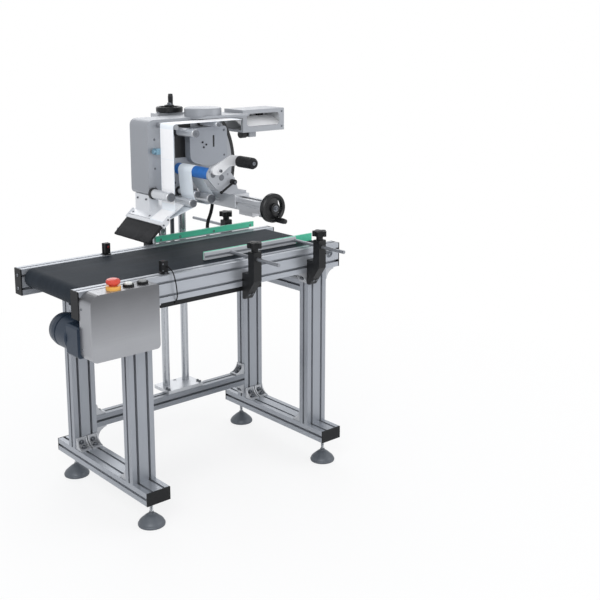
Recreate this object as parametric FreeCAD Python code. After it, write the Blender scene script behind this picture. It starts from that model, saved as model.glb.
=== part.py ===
"""Flat surface labeling machine: belt conveyor on a slotted profile frame with an adjustable label head.

Millimetres, +Z up. X runs along the belt, the drive end is at -X, the operator stands at -Y. Parts are
drawn from the point on the floor midway between the leg frames and between the front and back posts.
Each finished shape is then moved so that the origin is on the floor in the middle of the whole extent.
"""
import FreeCAD
import Part
import math
import os

V = FreeCAD.Vector

# Frame
PROFILE = 40.0
PROFILE_DEEP = 80.0
SLOT_MOUTH = 8.0
SLOT_ROOM = 16.0
SLOT_LIP = 4.5
SLOT_DEPTH = 11.0
CORE_BORE = 7.0
LEG_PITCH = 685.0
FRAME_DEPTH = 380.0
BASE_LENGTH = 532.0
CAP = 4.0
FOOT_HEIGHT = 84.0
FOOT_DISC = 80.0
FOOT_STEM = 12.0
FOOT_THREAD = 20.0
FOOT_INSET = 43.0
RAIL_BOTTOM = 656.0
RAIL_LEFT = -534.5
RAIL_RIGHT = 442.5
STRETCHER_BOTTOM = 175.0
CROSS_BEAM_BOTTOM = 585.0
BRACKET_LEG = 36.0
BRACKET_WALL = 5.0

# Conveyor
BELT_TOP = 735.0
BELT_THICKNESS = 3.0
BELT_WIDTH = FRAME_DEPTH - 2 * PROFILE - 10.0
ROLLER_D = 50.0
ROLLER_SHAFT_D = 15.0
BEARING_D = 30.0
BELT_LEFT = -524.5
BELT_RIGHT = 425.0
BED_THICKNESS = 3.0

# Drive
MOTOR_Z = 592.0
MOTOR_D = 100.0
MOTOR_FAR_END = -15.0
PULLEY_D = 40.0
PULLEY_WIDTH = 18.0
TIMING_BELT_THICKNESS = 2.5
COVER_LEFT = -532.0
COVER_WIDTH = 222.0
COVER_DEPTH = 58.0
COVER_BOTTOM = 545.0
COVER_TOP = 735.0
COVER_SHEET = 2.0

# Controls on the cover
STOP_X = -440.0
START_X = -392.0
RESET_X = -346.0
STOP_HEAD_D = 40.0
STOP_TRAVEL = 5.0
BUTTON_D = 22.0
BUTTON_TRAVEL = 3.0
CONTROL_BARREL_D = 29.0

# Side guides
GUIDE_BAR_HEIGHT = 23.0
GUIDE_BAR_THICKNESS = 8.0
STRIP_THICKNESS = 7.0
FRONT_GUIDE_Y = -105.0
BACK_GUIDE_Y = FRAME_DEPTH / 2
GUIDE_ROD_Z = 749.0
GUIDE_ROD_D = 11.0
GUIDE_ROD_LENGTH = 235.0
BRACKET_WIDTH = 30.0
FRONT_BRACKETS_X = (46.0, 313.0)
BACK_BRACKETS_X = (-29.0, 292.0)
FRONT_BAR_SPAN = (-53.0, 318.0)
FRONT_STRIP_SPAN = (-50.0, 400.0)
BACK_BAR_SPAN = (-40.0, 360.0)
BACK_STRIP_SPAN = (-36.0, 384.0)

# Sensors and cables
SENSOR_X = -237.0
SENSOR_CABLE_D = 3.5
SENSOR_CABLE_ROUTE = [(-229.0, -166.5, 756.0), (-228.0, -192.0, 752.0), (-224.0, -202.0, 722.0),
                      (-219.0, -202.0, 690.0), (-216.0, -199.0, 662.0), (-215.0, -183.0, 646.0)]
HEAD_HOSE_D = 12.0
HEAD_HOSE_ROUTE = [(150.0, 97.0, 955.0), (158.0, 150.0, 945.0), (185.0, 190.0, 890.0),
                   (196.0, 205.0, 820.0), (193.0, 208.0, 750.0), (200.0, 206.0, 692.0)]

# Columns and lift
COLUMN_X = 50.0
COLUMN_Y = FRAME_DEPTH / 2 + 25.0
COLUMN_PITCH = 80.0
COLUMN_D = 25.0
COLUMN_TOP = 1164.0
LEAD_SCREW_D = 14.0
WHEEL_D = 88.0
LIFT_BLOCK_BOTTOM = 868.0
LIFT_BLOCK_HEIGHT = 74.0

# Cross slide
SLIDE_X = 70.5
SLIDE_WIDTH = 44.0
SLIDE_BOTTOM = 889.0
SLIDE_HEIGHT = 37.0
SLIDE_FRONT = -262.0
WHEEL_BOSS = 18.0
SCREW_Z = 911.0
CROSS_SCREW_D = 10.0
CARRIAGE_FRONT = -142.0
CARRIAGE_LENGTH = 80.0

# Label head
HEAD_Y = 52.0
HEAD_DEPTH = 100.0
HEAD_LEFT = -142.5
HEAD_TOP = 1160.0
HEAD_SHEET = 3.0
DRUM_X = 89.0
DRUM_Y = 82.0
DRUM_R = 60.0
DRUM_HEIGHT = 30.0
ROLLER_FRONT = -45.0
WEB_FRONT = -44.0
WEB_WIDTH = 71.0
WEB_THICKNESS = 0.5
PULL_X = -30.5
PULL_Z = 1003.0
PULL_R = 18.0
NIP_X = 1.0
NIP_Z = 991.0
NIP_R = 14.0
FRONT_PLATE_Y = -131.0
LEVER_X = -12.0
LEVER_Z = 1014.0
GRIP_X = 65.0
GRIP_Z = 1036.0
CLAMP_X = 40.0
CLAMP_Z = 975.0

# Guide rollers, as x, z and radius
ROLLERS = {"a": (-127.7, 933.0, 15.0), "b": (-46.5, 905.0, 13.0), "c": (-30.5, 932.0, 11.0),
           "d": (22.5, 912.0, 15.0), "e": (-31.5, 1120.0, 13.0), "f": (55.5, 1143.0, 9.0)}

# Fits
RUNNING_FIT = 0.05
BODY_GAP = 0.4

# Web path and peel plate
WEB_X = -112.0
WEB_BEND_R = 6.0
GUIDE_BAR_R = 8.0
GUIDE_BAR_X = WEB_X + GUIDE_BAR_R + BODY_GAP + WEB_THICKNESS / 2
GUIDE_BAR_Z = 1144.0
PEEL_SHEET = 3.0
PEEL_LOW = (-156.5, 861.0)
PEEL_HIGH = (-80.5, 905.0)
PEEL_Y0 = -44.0
PEEL_Y1 = 152.0


def box(x0, x1, y0, y1, z0, z1):
    """Block between two corners."""
    return Part.makeBox(x1 - x0, y1 - y0, z1 - z0, V(x0, y0, z0))


def cyl_x(y, z, r, x0, x1):
    """Cylinder along X."""
    return Part.makeCylinder(r, x1 - x0, V(x0, y, z), V(1, 0, 0))


def cyl_y(x, z, r, y0, y1):
    """Cylinder along Y."""
    return Part.makeCylinder(r, y1 - y0, V(x, y0, z), V(0, 1, 0))


def cyl_z(x, y, r, z0, z1):
    """Upright cylinder."""
    return Part.makeCylinder(r, z1 - z0, V(x, y, z0), V(0, 0, 1))


def rounded_wire(corners):
    """Closed wire through (point, radius) corners with tangent arcs at the corners."""
    count = len(corners)
    starts = []
    ends = []
    arcs = []
    for i in range(count):
        p, r = corners[i]
        a = (corners[i - 1][0] - p).normalize()
        b = (corners[(i + 1) % count][0] - p).normalize()
        if r <= 0.0:
            starts.append(p)
            ends.append(p)
            arcs.append(None)
            continue
        half = a.getAngle(b) / 2.0
        reach = r / math.tan(half)
        middle = (a + b).normalize()
        top = p + middle * (r / math.sin(half) - r)
        starts.append(p + a * reach)
        ends.append(p + b * reach)
        arcs.append(Part.Arc(p + a * reach, top, p + b * reach).toShape())
    edges = []
    for i in range(count):
        if arcs[i] is not None:
            edges.append(arcs[i])
        following = starts[(i + 1) % count]
        if ends[i].distanceToPoint(following) > 1e-6:
            edges.append(Part.makeLine(ends[i], following))
    return Part.Wire(edges)


def prism_xz(points, y0, y1):
    """Outline in the XZ plane, given as (x, z, radius), extruded along Y."""
    wire = rounded_wire([(V(x, y0, z), r) for x, z, r in points])
    return Part.Face(wire).extrude(V(0, y1 - y0, 0))


def prism_yz(points, x0, x1):
    """Outline in the YZ plane, given as (y, z, radius), extruded along X."""
    wire = rounded_wire([(V(x0, y, z), r) for y, z, r in points])
    return Part.Face(wire).extrude(V(x1 - x0, 0, 0))


def prism_xy(points, z0, z1):
    """Outline in the XY plane, given as (x, y, radius), extruded upwards."""
    wire = rounded_wire([(V(x, y, z0), r) for x, y, r in points])
    return Part.Face(wire).extrude(V(0, 0, z1 - z0))


def turned(profile, base, axis=V(0, 0, 1)):
    """Revolves a (radius, height) profile about Z, then sets it on base along axis."""
    wire = Part.makePolygon([V(r, 0, h) for r, h in profile + profile[:1]])
    solid = Part.Face(wire).revolve(V(0, 0, 0), V(0, 0, 1), 360)
    solid.Placement = FreeCAD.Placement(base, FreeCAD.Rotation(V(0, 0, 1), axis))
    return solid


def fused(first, *others):
    """One solid from touching shapes."""
    shape = first
    for other in others:
        shape = shape.fuse(other)
    return shape.removeSplitter()


def without(shape, *cutters):
    """Shape with the cutters taken out."""
    for cutter in cutters:
        shape = shape.cut(cutter)
    return shape


def group(shapes):
    """Several like pieces in one node."""
    return Part.makeCompound(shapes)


def section_face(width, height):
    """Slotted profile section in the XY plane, centred, with slots every 40 mm round the outside."""
    face = Part.Face(Part.makePolygon([V(-width / 2, -height / 2, 0), V(width / 2, -height / 2, 0),
                                       V(width / 2, height / 2, 0), V(-width / 2, height / 2, 0),
                                       V(-width / 2, -height / 2, 0)]))
    slot = [(-SLOT_MOUTH / 2, 0), (SLOT_MOUTH / 2, 0), (SLOT_MOUTH / 2, -SLOT_LIP),
            (SLOT_ROOM / 2, -SLOT_LIP), (SLOT_ROOM / 2, -SLOT_LIP - 2.0), (SLOT_MOUTH / 2, -SLOT_DEPTH),
            (-SLOT_MOUTH / 2, -SLOT_DEPTH), (-SLOT_ROOM / 2, -SLOT_LIP - 2.0), (-SLOT_ROOM / 2, -SLOT_LIP),
            (-SLOT_MOUTH / 2, -SLOT_LIP)]
    cuts = []
    for along, across, turn in ((width, height, 0), (height, width, 90), (width, height, 180),
                                (height, width, 270)):
        for k in range(int(along / PROFILE)):
            offset = (k + 0.5) * PROFILE - along / 2
            points = [V(offset + u, across / 2 + w, 0) for u, w in slot]
            cut = Part.Face(Part.makePolygon(points + points[:1]))
            cut.rotate(V(0, 0, 0), V(0, 0, 1), turn)
            cuts.append(cut)
    for i in range(int(width / PROFILE)):
        for j in range(int(height / PROFILE)):
            x = (i + 0.5) * PROFILE - width / 2
            y = (j + 0.5) * PROFILE - height / 2
            circle = Part.Circle(V(x, y, 0), V(0, 0, 1), CORE_BORE / 2).toShape()
            cuts.append(Part.Face(Part.Wire(circle)))
    return face.cut(Part.makeCompound(cuts)).Faces[0]


def profile_z(width_x, width_y, x, y, z0, z1):
    """Upright slotted profile."""
    solid = section_face(width_x, width_y).extrude(V(0, 0, z1 - z0))
    solid.translate(V(x, y, z0))
    return solid


def profile_y(width_x, height_z, x, z, y0, y1):
    """Slotted profile along Y, centred on x and z."""
    solid = section_face(width_x, height_z).extrude(V(0, 0, y1 - y0))
    solid.rotate(V(0, 0, 0), V(1, 0, 0), -90)
    solid.translate(V(x, y0, z))
    return solid


def profile_x(width_y, height_z, y, z, x0, x1):
    """Slotted profile along X, centred on y and z."""
    solid = section_face(height_z, width_y).extrude(V(0, 0, x1 - x0))
    solid.rotate(V(0, 0, 0), V(0, 1, 0), 90)
    solid.translate(V(x0, y, z))
    return solid


LEG_X = (-LEG_PITCH / 2, LEG_PITCH / 2)
POST_Y = FRAME_DEPTH / 2 - PROFILE / 2
BASE_TOP = FOOT_HEIGHT + PROFILE
FOOT_Y = (FOOT_INSET - BASE_LENGTH / 2, BASE_LENGTH / 2 - FOOT_INSET)
RAIL_TOP = RAIL_BOTTOM + PROFILE_DEEP
RAIL_Z = RAIL_BOTTOM + PROFILE_DEEP / 2
ROLLER_Z = BELT_TOP - BELT_THICKNESS - BODY_GAP - ROLLER_D / 2
BELT_R = ROLLER_D / 2 + BODY_GAP + BELT_THICKNESS
DRIVE_X = BELT_LEFT + BELT_R
TAIL_X = BELT_RIGHT - BELT_R
OUTER_Y = FRAME_DEPTH / 2
INNER_Y = OUTER_Y - PROFILE
COVER_FRONT = -OUTER_Y - COVER_DEPTH
COVER_MID_Y = -OUTER_Y - COVER_DEPTH / 2
SLIDE_TOP = SLIDE_BOTTOM + SLIDE_HEIGHT
HEAD_BACK = HEAD_Y + HEAD_DEPTH
ROD_REACH = GUIDE_BAR_THICKNESS + GUIDE_ROD_LENGTH
ORIGIN_X = (DRIVE_X - MOTOR_D / 2 + RAIL_RIGHT) / 2
ORIGIN_Y = (FRONT_GUIDE_Y - ROD_REACH + BACK_GUIDE_Y + ROD_REACH) / 2


def cross_profiles():
    """Profiles across the machine: two floor beams, and two short beams between the posts under the belt."""
    half = BASE_LENGTH / 2 - CAP
    beams = []
    for x in LEG_X:
        base = profile_y(PROFILE_DEEP, PROFILE, x, FOOT_HEIGHT + PROFILE / 2, -half, half)
        holes = [cyl_z(x, y, FOOT_STEM / 2, FOOT_HEIGHT - 1, FOOT_HEIGHT + FOOT_THREAD) for y in FOOT_Y]
        beams.append(without(base, *holes))
        beams.append(profile_y(PROFILE_DEEP, PROFILE, x, CROSS_BEAM_BOTTOM + PROFILE / 2, -INNER_Y, INNER_Y))
    return group(beams)


def posts():
    """Four uprights from the base beams to the side rails."""
    return group([profile_z(PROFILE_DEEP, PROFILE, x, y, BASE_TOP, RAIL_BOTTOM)
                  for x in LEG_X for y in (-POST_Y, POST_Y)])


def stretcher():
    """Low beam between the two back posts."""
    reach = LEG_PITCH / 2 - PROFILE_DEEP / 2
    return profile_x(PROFILE, PROFILE, POST_Y, STRETCHER_BOTTOM + PROFILE / 2, -reach, reach)


def side_rail(y):
    """Side rail with a bearing seat near each end."""
    rail = profile_x(PROFILE, PROFILE_DEEP, y, RAIL_Z, RAIL_LEFT + CAP, RAIL_RIGHT - CAP)
    seats = [cyl_y(x, ROLLER_Z, BEARING_D / 2, y - PROFILE, y + PROFILE) for x in (DRIVE_X, TAIL_X)]
    return without(rail, *seats)


def side_rails():
    """Front and back side rails."""
    return group([side_rail(y) for y in (-POST_Y, POST_Y)])


def end_caps():
    """Plastic caps on the open ends of the base beams and the side rails."""
    half = BASE_LENGTH / 2
    caps = []
    for x in LEG_X:
        for y in (-half, half - CAP):
            wing = PROFILE_DEEP / 2
            caps.append(box(x - wing, x + wing, y, y + CAP, FOOT_HEIGHT, BASE_TOP))
    for x in (RAIL_LEFT, RAIL_RIGHT - CAP):
        for y in (-OUTER_Y, INNER_Y):
            caps.append(box(x, x + CAP, y, y + PROFILE, RAIL_BOTTOM, RAIL_TOP))
    return group(caps)


def cast_corner(corner, along, up, width):
    """Cast angle: two pads, two cheeks with a hollow edge; along and up point away from the corner."""
    leg = BRACKET_LEG
    wall = BRACKET_WALL
    side = along.cross(up)
    def outline(offset, depth, points):
        start = corner + side * offset
        wire = Part.makePolygon([start + along * a + up * b for a, b in points + points[:1]])
        return Part.Face(wire).extrude(side * depth)
    pads = outline(-width / 2, width, [(0, 0), (leg, 0), (leg, wall), (wall, wall), (wall, leg), (0, leg)])
    cheeks = []
    for offset in (-width / 2, width / 2 - 4.0):
        start = corner + side * offset
        p1 = start + along * leg + up * wall
        p2 = start + along * (leg * 0.42) + up * (leg * 0.42)
        p3 = start + along * wall + up * leg
        edges = [Part.Arc(p1, p2, p3).toShape(), Part.makeLine(p3, start + up * leg),
                 Part.makeLine(start + up * leg, start), Part.makeLine(start, start + along * leg),
                 Part.makeLine(start + along * leg, p1)]
        cheeks.append(Part.Face(Part.Wire(edges)).extrude(side * 4.0))
    return fused(pads, *cheeks)


def corner_brackets():
    """Cast angles at the post feet, at the stretcher ends and under the side rails."""
    parts = []
    for x in LEG_X:
        for sign in (-1, 1):
            for shift in (-PROFILE / 2, PROFILE / 2):
                corner = V(x + shift, sign * INNER_Y, BASE_TOP)
                parts.append(cast_corner(corner, V(0, -sign, 0), V(0, 0, 1), 36.0))
    reach = LEG_PITCH / 2 - PROFILE_DEEP / 2
    for sign in (-1, 1):
        for z, up in ((STRETCHER_BOTTOM, -1), (STRETCHER_BOTTOM + PROFILE, 1)):
            parts.append(cast_corner(V(sign * reach, POST_Y, z), V(-sign, 0, 0), V(0, 0, up), 36.0))
    for x in LEG_X:
        for sign in (-1, 1):
            for y in (-POST_Y, POST_Y):
                corner = V(x + sign * PROFILE_DEEP / 2, y, RAIL_BOTTOM)
                parts.append(cast_corner(corner, V(sign, 0, 0), V(0, 0, -1), 36.0))
    return group(parts)


def levelling_feet():
    """Four levelling feet: disc, hollowed cone, lock nut and threaded stem."""
    feet = []
    r = FOOT_DISC / 2
    for x in LEG_X:
        for y in FOOT_Y:
            body = turned([(0, 0), (r, 0), (r, 7), (r - 4, 10), (24, 20), (16, 34), (12, 48), (12, 56),
                           (FOOT_STEM / 2, 56), (FOOT_STEM / 2, FOOT_HEIGHT + FOOT_THREAD),
                           (0, FOOT_HEIGHT + FOOT_THREAD)],
                          V(x, y, 0))
            nut = Part.Face(Part.makePolygon([V(x + 10.4 * math.cos(math.radians(a)),
                                                y + 10.4 * math.sin(math.radians(a)), FOOT_HEIGHT - 10)
                                              for a in range(0, 361, 60)])).extrude(V(0, 0, 10))
            feet.append(fused(body, nut))
    return group(feet)


def loop_xz(x0, z0, x1, z1, r):
    """Face of a belt loop outline round two equal circles."""
    d = V(x1 - x0, 0, z1 - z0).normalize()
    n = V(-d.z, 0, d.x)
    a = V(x0, 0, z0)
    b = V(x1, 0, z1)
    edges = [Part.Arc(a + n * r, a - d * r, a - n * r).toShape(), Part.makeLine(a - n * r, b - n * r),
             Part.Arc(b - n * r, b + d * r, b + n * r).toShape(), Part.makeLine(b + n * r, a + n * r)]
    return Part.Face(Part.Wire(edges))


def conveyor_belt():
    """Endless flat belt."""
    outer = loop_xz(DRIVE_X, ROLLER_Z, TAIL_X, ROLLER_Z, BELT_R)
    inner = loop_xz(DRIVE_X, ROLLER_Z, TAIL_X, ROLLER_Z, BELT_R - BELT_THICKNESS)
    ring = outer.cut(inner).extrude(V(0, BELT_WIDTH, 0))
    ring.translate(V(0, -BELT_WIDTH / 2, 0))
    return ring


def slider_bed():
    """Folded sheet the belt runs on, bolted to both side rails."""
    top = BELT_TOP - BELT_THICKNESS - BODY_GAP
    x0 = DRIVE_X + ROLLER_D / 2 + 8
    x1 = TAIL_X - ROLLER_D / 2 - 8
    sheet = box(x0, x1, -INNER_Y, INNER_Y, top - BED_THICKNESS, top)
    folds = [box(x0, x1, y, y + 2, top - 26, top) for y in (-INNER_Y, INNER_Y - 2)]
    return fused(sheet, *folds)


def roller_bearings():
    """Bearing rings pressed into the side rails."""
    rings = []
    for x in (DRIVE_X, TAIL_X):
        for sign in (-1, 1):
            y = sign * POST_Y - 9
            ring = cyl_y(x, ROLLER_Z, BEARING_D / 2, y, y + 18)
            rings.append(without(ring, cyl_y(x, ROLLER_Z, ROLLER_SHAFT_D / 2 + RUNNING_FIT, y - 1, y + 19)))
    return group(rings)


def belt_roller(x, front):
    """Crowned steel roller with its shaft."""
    half = BELT_WIDTH / 2
    r = ROLLER_D / 2
    shell = turned([(0, 0), (r - 1, 0), (r, 60), (r, 2 * half - 60), (r - 1, 2 * half), (0, 2 * half)],
                   V(x, -half, ROLLER_Z), V(0, 1, 0))
    shaft = cyl_y(x, ROLLER_Z, ROLLER_SHAFT_D / 2, front, POST_Y + 12)
    return fused(shell, shaft)


def toothed_pulley(x, z, bore, y0):
    """Toothed pulley with two flanges and a clear bore."""
    r = PULLEY_D / 2
    body = cyl_y(x, z, r, y0, y0 + PULLEY_WIDTH)
    grooves = []
    for k in range(16):
        a = math.radians(k * 22.5)
        grooves.append(cyl_y(x + r * math.cos(a), z + r * math.sin(a), 1.6, y0 - 1, y0 + PULLEY_WIDTH + 1))
    body = body.cut(Part.makeCompound(grooves))
    return without(body, cyl_y(x, z, bore, y0 - 1, y0 + PULLEY_WIDTH + 1))


def drive_roller():
    """Drive roller with its toothed pulley inside the cover."""
    return fused(belt_roller(DRIVE_X, -OUTER_Y - 30), toothed_pulley(DRIVE_X, ROLLER_Z, 7.0, -OUTER_Y - 28))


def motor_pulley():
    """Pulley and output shaft of the geared motor."""
    y0 = -OUTER_Y - 28
    shaft = cyl_y(DRIVE_X, MOTOR_Z, 7.0, y0 - 2, -OUTER_Y + 12)
    return fused(toothed_pulley(DRIVE_X, MOTOR_Z, 7.0, y0), shaft)


def timing_belt():
    """Toothed belt between the motor pulley and the roller pulley."""
    inner_r = PULLEY_D / 2 + BODY_GAP
    outer = loop_xz(DRIVE_X, MOTOR_Z, DRIVE_X, ROLLER_Z, inner_r + TIMING_BELT_THICKNESS)
    inner = loop_xz(DRIVE_X, MOTOR_Z, DRIVE_X, ROLLER_Z, inner_r)
    ring = outer.cut(inner).extrude(V(0, PULLEY_WIDTH - 4, 0))
    ring.translate(V(0, -OUTER_Y - 26, 0))
    return ring


def cover_outline(inset):
    """Front outline of the drive cover, with the wide corner at the drive end."""
    x0 = COVER_LEFT + inset
    x1 = COVER_LEFT + COVER_WIDTH - inset
    z0 = COVER_BOTTOM + inset
    z1 = COVER_TOP - inset
    return [(x0, z0, 20 - inset), (x1, z0, 12 - inset), (x1, z1, 8 - inset), (x0, z1, 34 - inset)]


def drive_cover():
    """Pan-shaped sheet cover, open towards the rail, with holes for the controls."""
    shell = prism_xz(cover_outline(0.0), COVER_FRONT, -OUTER_Y)
    room = prism_xz(cover_outline(COVER_SHEET), COVER_FRONT + COVER_SHEET, -OUTER_Y + 1)
    holes = [cyl_z(x, COVER_MID_Y, CONTROL_BARREL_D / 2, COVER_TOP - 5, COVER_TOP + 1)
             for x in (STOP_X, START_X, RESET_X)]
    return without(shell, room, *holes)


def gearmotor():
    """Geared motor on its mounting plate: gear head, motor body with a groove, end bell, terminal box."""
    y0 = -OUTER_Y
    x0 = COVER_LEFT + COVER_SHEET + 2
    x1 = COVER_LEFT + COVER_WIDTH - 80
    z0 = COVER_BOTTOM + COVER_SHEET + 2
    plate = prism_xz([(x0, z0, 18), (x1, z0, 6), (x1, RAIL_TOP - 20, 6), (x0, RAIL_TOP - 20, 12)], y0 - 4, y0)
    plate = without(plate, cyl_y(DRIVE_X, ROLLER_Z, 16.0, y0 - 5, y0 + 1))
    r = MOTOR_D / 2
    head = prism_xz([(DRIVE_X - 45, MOTOR_Z - 45, 8), (DRIVE_X + 45, MOTOR_Z - 45, 8),
                     (DRIVE_X + 45, MOTOR_Z + 45, 8), (DRIVE_X - 45, MOTOR_Z + 45, 8)], y0, y0 + 62)
    end = MOTOR_FAR_END - y0 - 62
    body = turned([(0, 0), (r - 3, 0), (r, 4), (r, end - 57), (r - 5, end - 55), (r - 5, end - 51),
                   (r, end - 49), (r, end - 35), (r - 4, end - 13), (r - 14, end), (0, end)],
                  V(DRIVE_X, y0 + 62, MOTOR_Z), V(0, 1, 0))
    terminal = prism_xz([(DRIVE_X + 20, MOTOR_Z - 26, 4), (DRIVE_X + 62, MOTOR_Z - 26, 4),
                         (DRIVE_X + 62, MOTOR_Z + 26, 4), (DRIVE_X + 20, MOTOR_Z + 26, 4)], y0 + 74, y0 + 136)
    bore = cyl_y(DRIVE_X, MOTOR_Z, 7.0 + RUNNING_FIT, y0 - 5, y0 + 14)
    return without(fused(plate, head, body, terminal), bore)


def control_collar(x, ring_d, ring_h, bore_d):
    """Collar on the cover with its threaded barrel below the sheet."""
    ring = cyl_z(x, COVER_MID_Y, ring_d / 2, COVER_TOP, COVER_TOP + ring_h)
    barrel = cyl_z(x, COVER_MID_Y, CONTROL_BARREL_D / 2, COVER_TOP - 38, COVER_TOP)
    bore = cyl_z(x, COVER_MID_Y, bore_d / 2 + BODY_GAP, COVER_TOP - 30, COVER_TOP + ring_h + 1)
    return without(fused(ring, barrel), bore)


def stop_collar():
    """Yellow collar of the emergency stop."""
    return control_collar(STOP_X, 42.0, 10.0, BUTTON_D)


def button_bezels():
    """Bezels of the two push buttons."""
    return group([control_collar(x, 32.0, 7.0, BUTTON_D) for x in (START_X, RESET_X)])


def stop_button():
    """Mushroom head of the emergency stop on its stem."""
    r = STOP_HEAD_D / 2
    z0 = COVER_TOP - 20
    head = COVER_TOP + 10 + STOP_TRAVEL + BODY_GAP - z0
    return turned([(0, 0), (BUTTON_D / 2, 0), (BUTTON_D / 2, head), (r - 2, head), (r, head + 3), (r, head + 9),
                   (r - 3, head + 13), (r - 9, head + 15), (0, head + 16)], V(STOP_X, COVER_MID_Y, z0))


def push_button(x):
    """Flat push button cap."""
    z0 = COVER_TOP - 20
    top = COVER_TOP + 12 - z0
    return turned([(0, 0), (BUTTON_D / 2, 0), (BUTTON_D / 2, top - 1.5), (BUTTON_D / 2 - 1.5, top), (0, top)],
                  V(x, COVER_MID_Y, z0))


def cable_ducts():
    """Black cable duct under the front rail, and a short one on the back rail that takes the head hose."""
    x0 = LEG_X[0] + PROFILE_DEEP / 2 + BRACKET_LEG + 2
    duct = box(x0, 112, -POST_Y - 14, -POST_Y + 14, RAIL_BOTTOM - 16, RAIL_BOTTOM)
    duct = without(duct, box(x0 + 3, 109, -POST_Y - 12, -POST_Y + 12, RAIL_BOTTOM - 14, RAIL_BOTTOM - 2))
    last = V(*SENSOR_CABLE_ROUTE[-2])
    way = (V(*SENSOR_CABLE_ROUTE[-1]) - last) * 1.3
    duct = without(duct, Part.makeCylinder(SENSOR_CABLE_D / 2 + BODY_GAP, way.Length, last, way))
    x, y, z = HEAD_HOSE_ROUTE[-1]
    socket = box(x - 15, x + 15, OUTER_Y, y + 15, z - 34, z - 1)
    return group([duct, socket])


def detection_sensors():
    """Through-beam sensor pair, each on a folded foot on its rail."""
    sensors = []
    for sign in (-1, 1):
        ys = sorted((sign * 150.5, sign * 176))
        foot = box(SENSOR_X - 11, SENSOR_X + 11, ys[0], ys[1], RAIL_TOP, RAIL_TOP + 2.5)
        yb = sorted((sign * 166, sign * 168.5))
        back = box(SENSOR_X - 11, SENSOR_X + 11, yb[0], yb[1], RAIL_TOP, RAIL_TOP + 37)
        yc = sorted((sign * 151, sign * 166))
        body = box(SENSOR_X - 9, SENSOR_X + 9, yc[0], yc[1], RAIL_TOP + 5, RAIL_TOP + 37)
        ye = sorted((sign * 148, sign * 151))
        eye = cyl_y(SENSOR_X, RAIL_TOP + 27, 5.0, ye[0], ye[1])
        sensors.append(fused(foot, back, body, eye))
    start = V(*SENSOR_CABLE_ROUTE[0])
    way = V(*SENSOR_CABLE_ROUTE[1]) - start
    cable_hole = Part.makeCylinder(SENSOR_CABLE_D / 2 + BODY_GAP, way.Length, start, way)
    return group([without(sensor, cable_hole) for sensor in sensors])


def guide_bracket(x, sign):
    """Guide arm: foot on the rail face, clamp block stood off from the rail, bore for the guide rod."""
    face = OUTER_Y
    out = OUTER_Y + 58
    points = [(face, 617, 2), (face + 12, 617, 3), (out, 680, 6), (out, 771, 3), (face + 30, 771, 3),
              (face + 30, 700, 3), (face, 700, 2)]
    arm = prism_yz([(sign * y, z, r) for y, z, r in points], x - BRACKET_WIDTH / 2, x + BRACKET_WIDTH / 2)
    ends = sorted((sign * (face + 20), sign * (out + 10)))
    bore = cyl_y(x, GUIDE_ROD_Z, GUIDE_ROD_D / 2 + RUNNING_FIT, ends[0], ends[1])
    boss = cyl_z(x, sign * (face + 44), 11.0, 771, 780)
    screw = cyl_z(x, sign * (face + 44), 4.0 + BODY_GAP, GUIDE_ROD_Z, 781)
    return without(fused(arm, boss), bore, screw)


def bracket_places():
    """Position and side of the four guide brackets."""
    return [(x, -1) for x in FRONT_BRACKETS_X] + [(x, 1) for x in BACK_BRACKETS_X]


def guide_brackets():
    """Four guide arms on the outer faces of the side rails."""
    return group([guide_bracket(x, sign) for x, sign in bracket_places()])


def guide_knob(x, sign):
    """Five-lobed star knob with its clamp screw."""
    y = sign * (OUTER_Y + 44)
    z0 = 780 + BODY_GAP
    knob = cyl_z(x, y, 18.0, z0 + 3, z0 + 20)
    hub = cyl_z(x, y, 11.0, z0, z0 + 3)
    lobes = [cyl_z(x + 17 * math.cos(math.radians(72 * k)), y + 17 * math.sin(math.radians(72 * k)), 7.0,
                   z0 + 3, z0 + 20) for k in range(5)]
    stud = cyl_z(x, y, 4.0, GUIDE_ROD_Z + GUIDE_ROD_D / 2 + BODY_GAP + 0.5, z0 + 3)
    return fused(knob, hub, stud, *lobes)


def guide_bar(y, sign, places, span):
    """Guide bar with two rods; sign gives the side of the belt."""
    x0, x1 = span
    low = GUIDE_ROD_Z - GUIDE_BAR_HEIGHT / 2
    ys = sorted((y, y + sign * GUIDE_BAR_THICKNESS))
    bar = box(x0, x1, ys[0], ys[1], low, low + GUIDE_BAR_HEIGHT)
    rods = []
    for x, side in places:
        ends = sorted((y + sign * 2, y + sign * ROD_REACH))
        rods.append(cyl_y(x, GUIDE_ROD_Z, GUIDE_ROD_D / 2, ends[0], ends[1]))
    return fused(bar, *rods)


def guide_strip(y, sign, span):
    """Sliding strip on the product side of a guide bar."""
    x0, x1 = span
    low = GUIDE_ROD_Z - GUIDE_BAR_HEIGHT / 2 - 0.5
    high = low + GUIDE_BAR_HEIGHT + 1
    inner = y - sign * STRIP_THICKNESS
    return prism_xy([(x0 + 5, y, 0), (x1 - 5, y, 0), (x1, inner + sign * 1.0, 0), (x1 - 6, inner, 0),
                     (x0 + 6, inner, 0), (x0, inner + sign * 1.0, 0)], low, high)


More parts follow.
